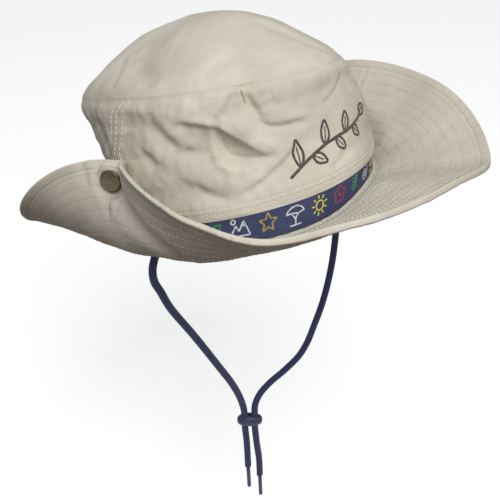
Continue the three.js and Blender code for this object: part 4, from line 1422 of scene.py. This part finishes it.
stud_foot = brim_point(*cap_place, brim_bend(*cap_place) + brim_thickness / 2 + seam_gap)
stud_reach = stud_length(stud_foot, -snap_axis)
turned_piece("snap_stud_brass", "snap_stud", [
    (0, 0), (stud_diameter / 2 - 0.2, 0), (stud_diameter / 2, 0.2), (stud_diameter / 2, stud_reach - 0.2),
    (stud_diameter / 2 - 0.2, stud_reach), (0, stud_reach)], stud_foot, -snap_axis)


# The hat hangs over a wide plain floor, pale and without a pattern, in soft studio light. The backdrop
# behind the floor has the floor's own far tone.
floor_reach = 6000.0
floor_height = -360.0


def stage_floor():
    """A wide plain floor."""
    corners = [(x * floor_reach, y * floor_reach, floor_height)
               for x, y in ((-1, -1), (1, -1), (1, 1), (-1, 1))]
    floor = mesh_object("floor", corners, [(0, 1, 2, 3)])
    material, _, surface = new_material("pale_floor")
    surface.inputs["Base Color"].default_value = (0.9, 0.9, 0.9, 1)
    surface.inputs["Emission Color"].default_value = (1, 1, 1, 1)
    surface.inputs["Emission Strength"].default_value = 0.45
    surface.inputs["Roughness"].default_value = 0.9
    floor.data.materials.append(material)
    floor.visible_diffuse = False


def soft_light(name, place, power, colour):
    """A round lamp that faces the hat."""
    data = bpy.data.lights.new(name, "AREA")
    data.shape = "DISK"
    data.size = 0.8
    data.energy = power
    data.color = colour
    lamp = bpy.data.objects.new(name, data)
    direction = Vector((0, 0, 0.02)) - Vector(place)
    lamp.matrix_world = Matrix.Translation(place) @ direction.to_track_quat("-Z", "Y").to_matrix().to_4x4()
    bpy.context.scene.collection.objects.link(lamp)


stage_floor()
soft_light("key", (-0.28, -0.72, 0.98), 11.6, (1, 0.995, 0.975))
soft_light("side_fill", (-0.85, 0.55, 0.95), 1.5, (1, 0.995, 0.985))
world = bpy.data.worlds.new("studio")
bpy.context.scene.world = world
world.use_nodes = True
sky = world.node_tree
facing = shader_node(sky, "ShaderNodeTexCoord")
rise = shader_node(sky, "ShaderNodeSeparateXYZ", Vector=facing.outputs["Generated"])
height = reckon(sky, "MULTIPLY_ADD", rise.outputs["Z"], 0.5, 0.5)
glow = shade_ramp(sky, height, [(0.42, (0.082, 0.064, 0.057)), (0.58, (0.355, 0.355, 0.355)),
                                (0.95, (0.42, 0.425, 0.44))])
seen = shader_node(sky, "ShaderNodeLightPath")
backdrop = shader_node(sky, "ShaderNodeMix")
backdrop.data_type = "RGBA"
sky.links.new(seen.outputs["Is Camera Ray"], backdrop.inputs[0])
sky.links.new(glow, backdrop.inputs[6])
backdrop.inputs[7].default_value = (0.82, 0.82, 0.82, 1)
sky.links.new(backdrop.outputs[2], sky.nodes["Background"].inputs["Color"])
bpy.context.scene.view_settings.view_transform = "Standard"
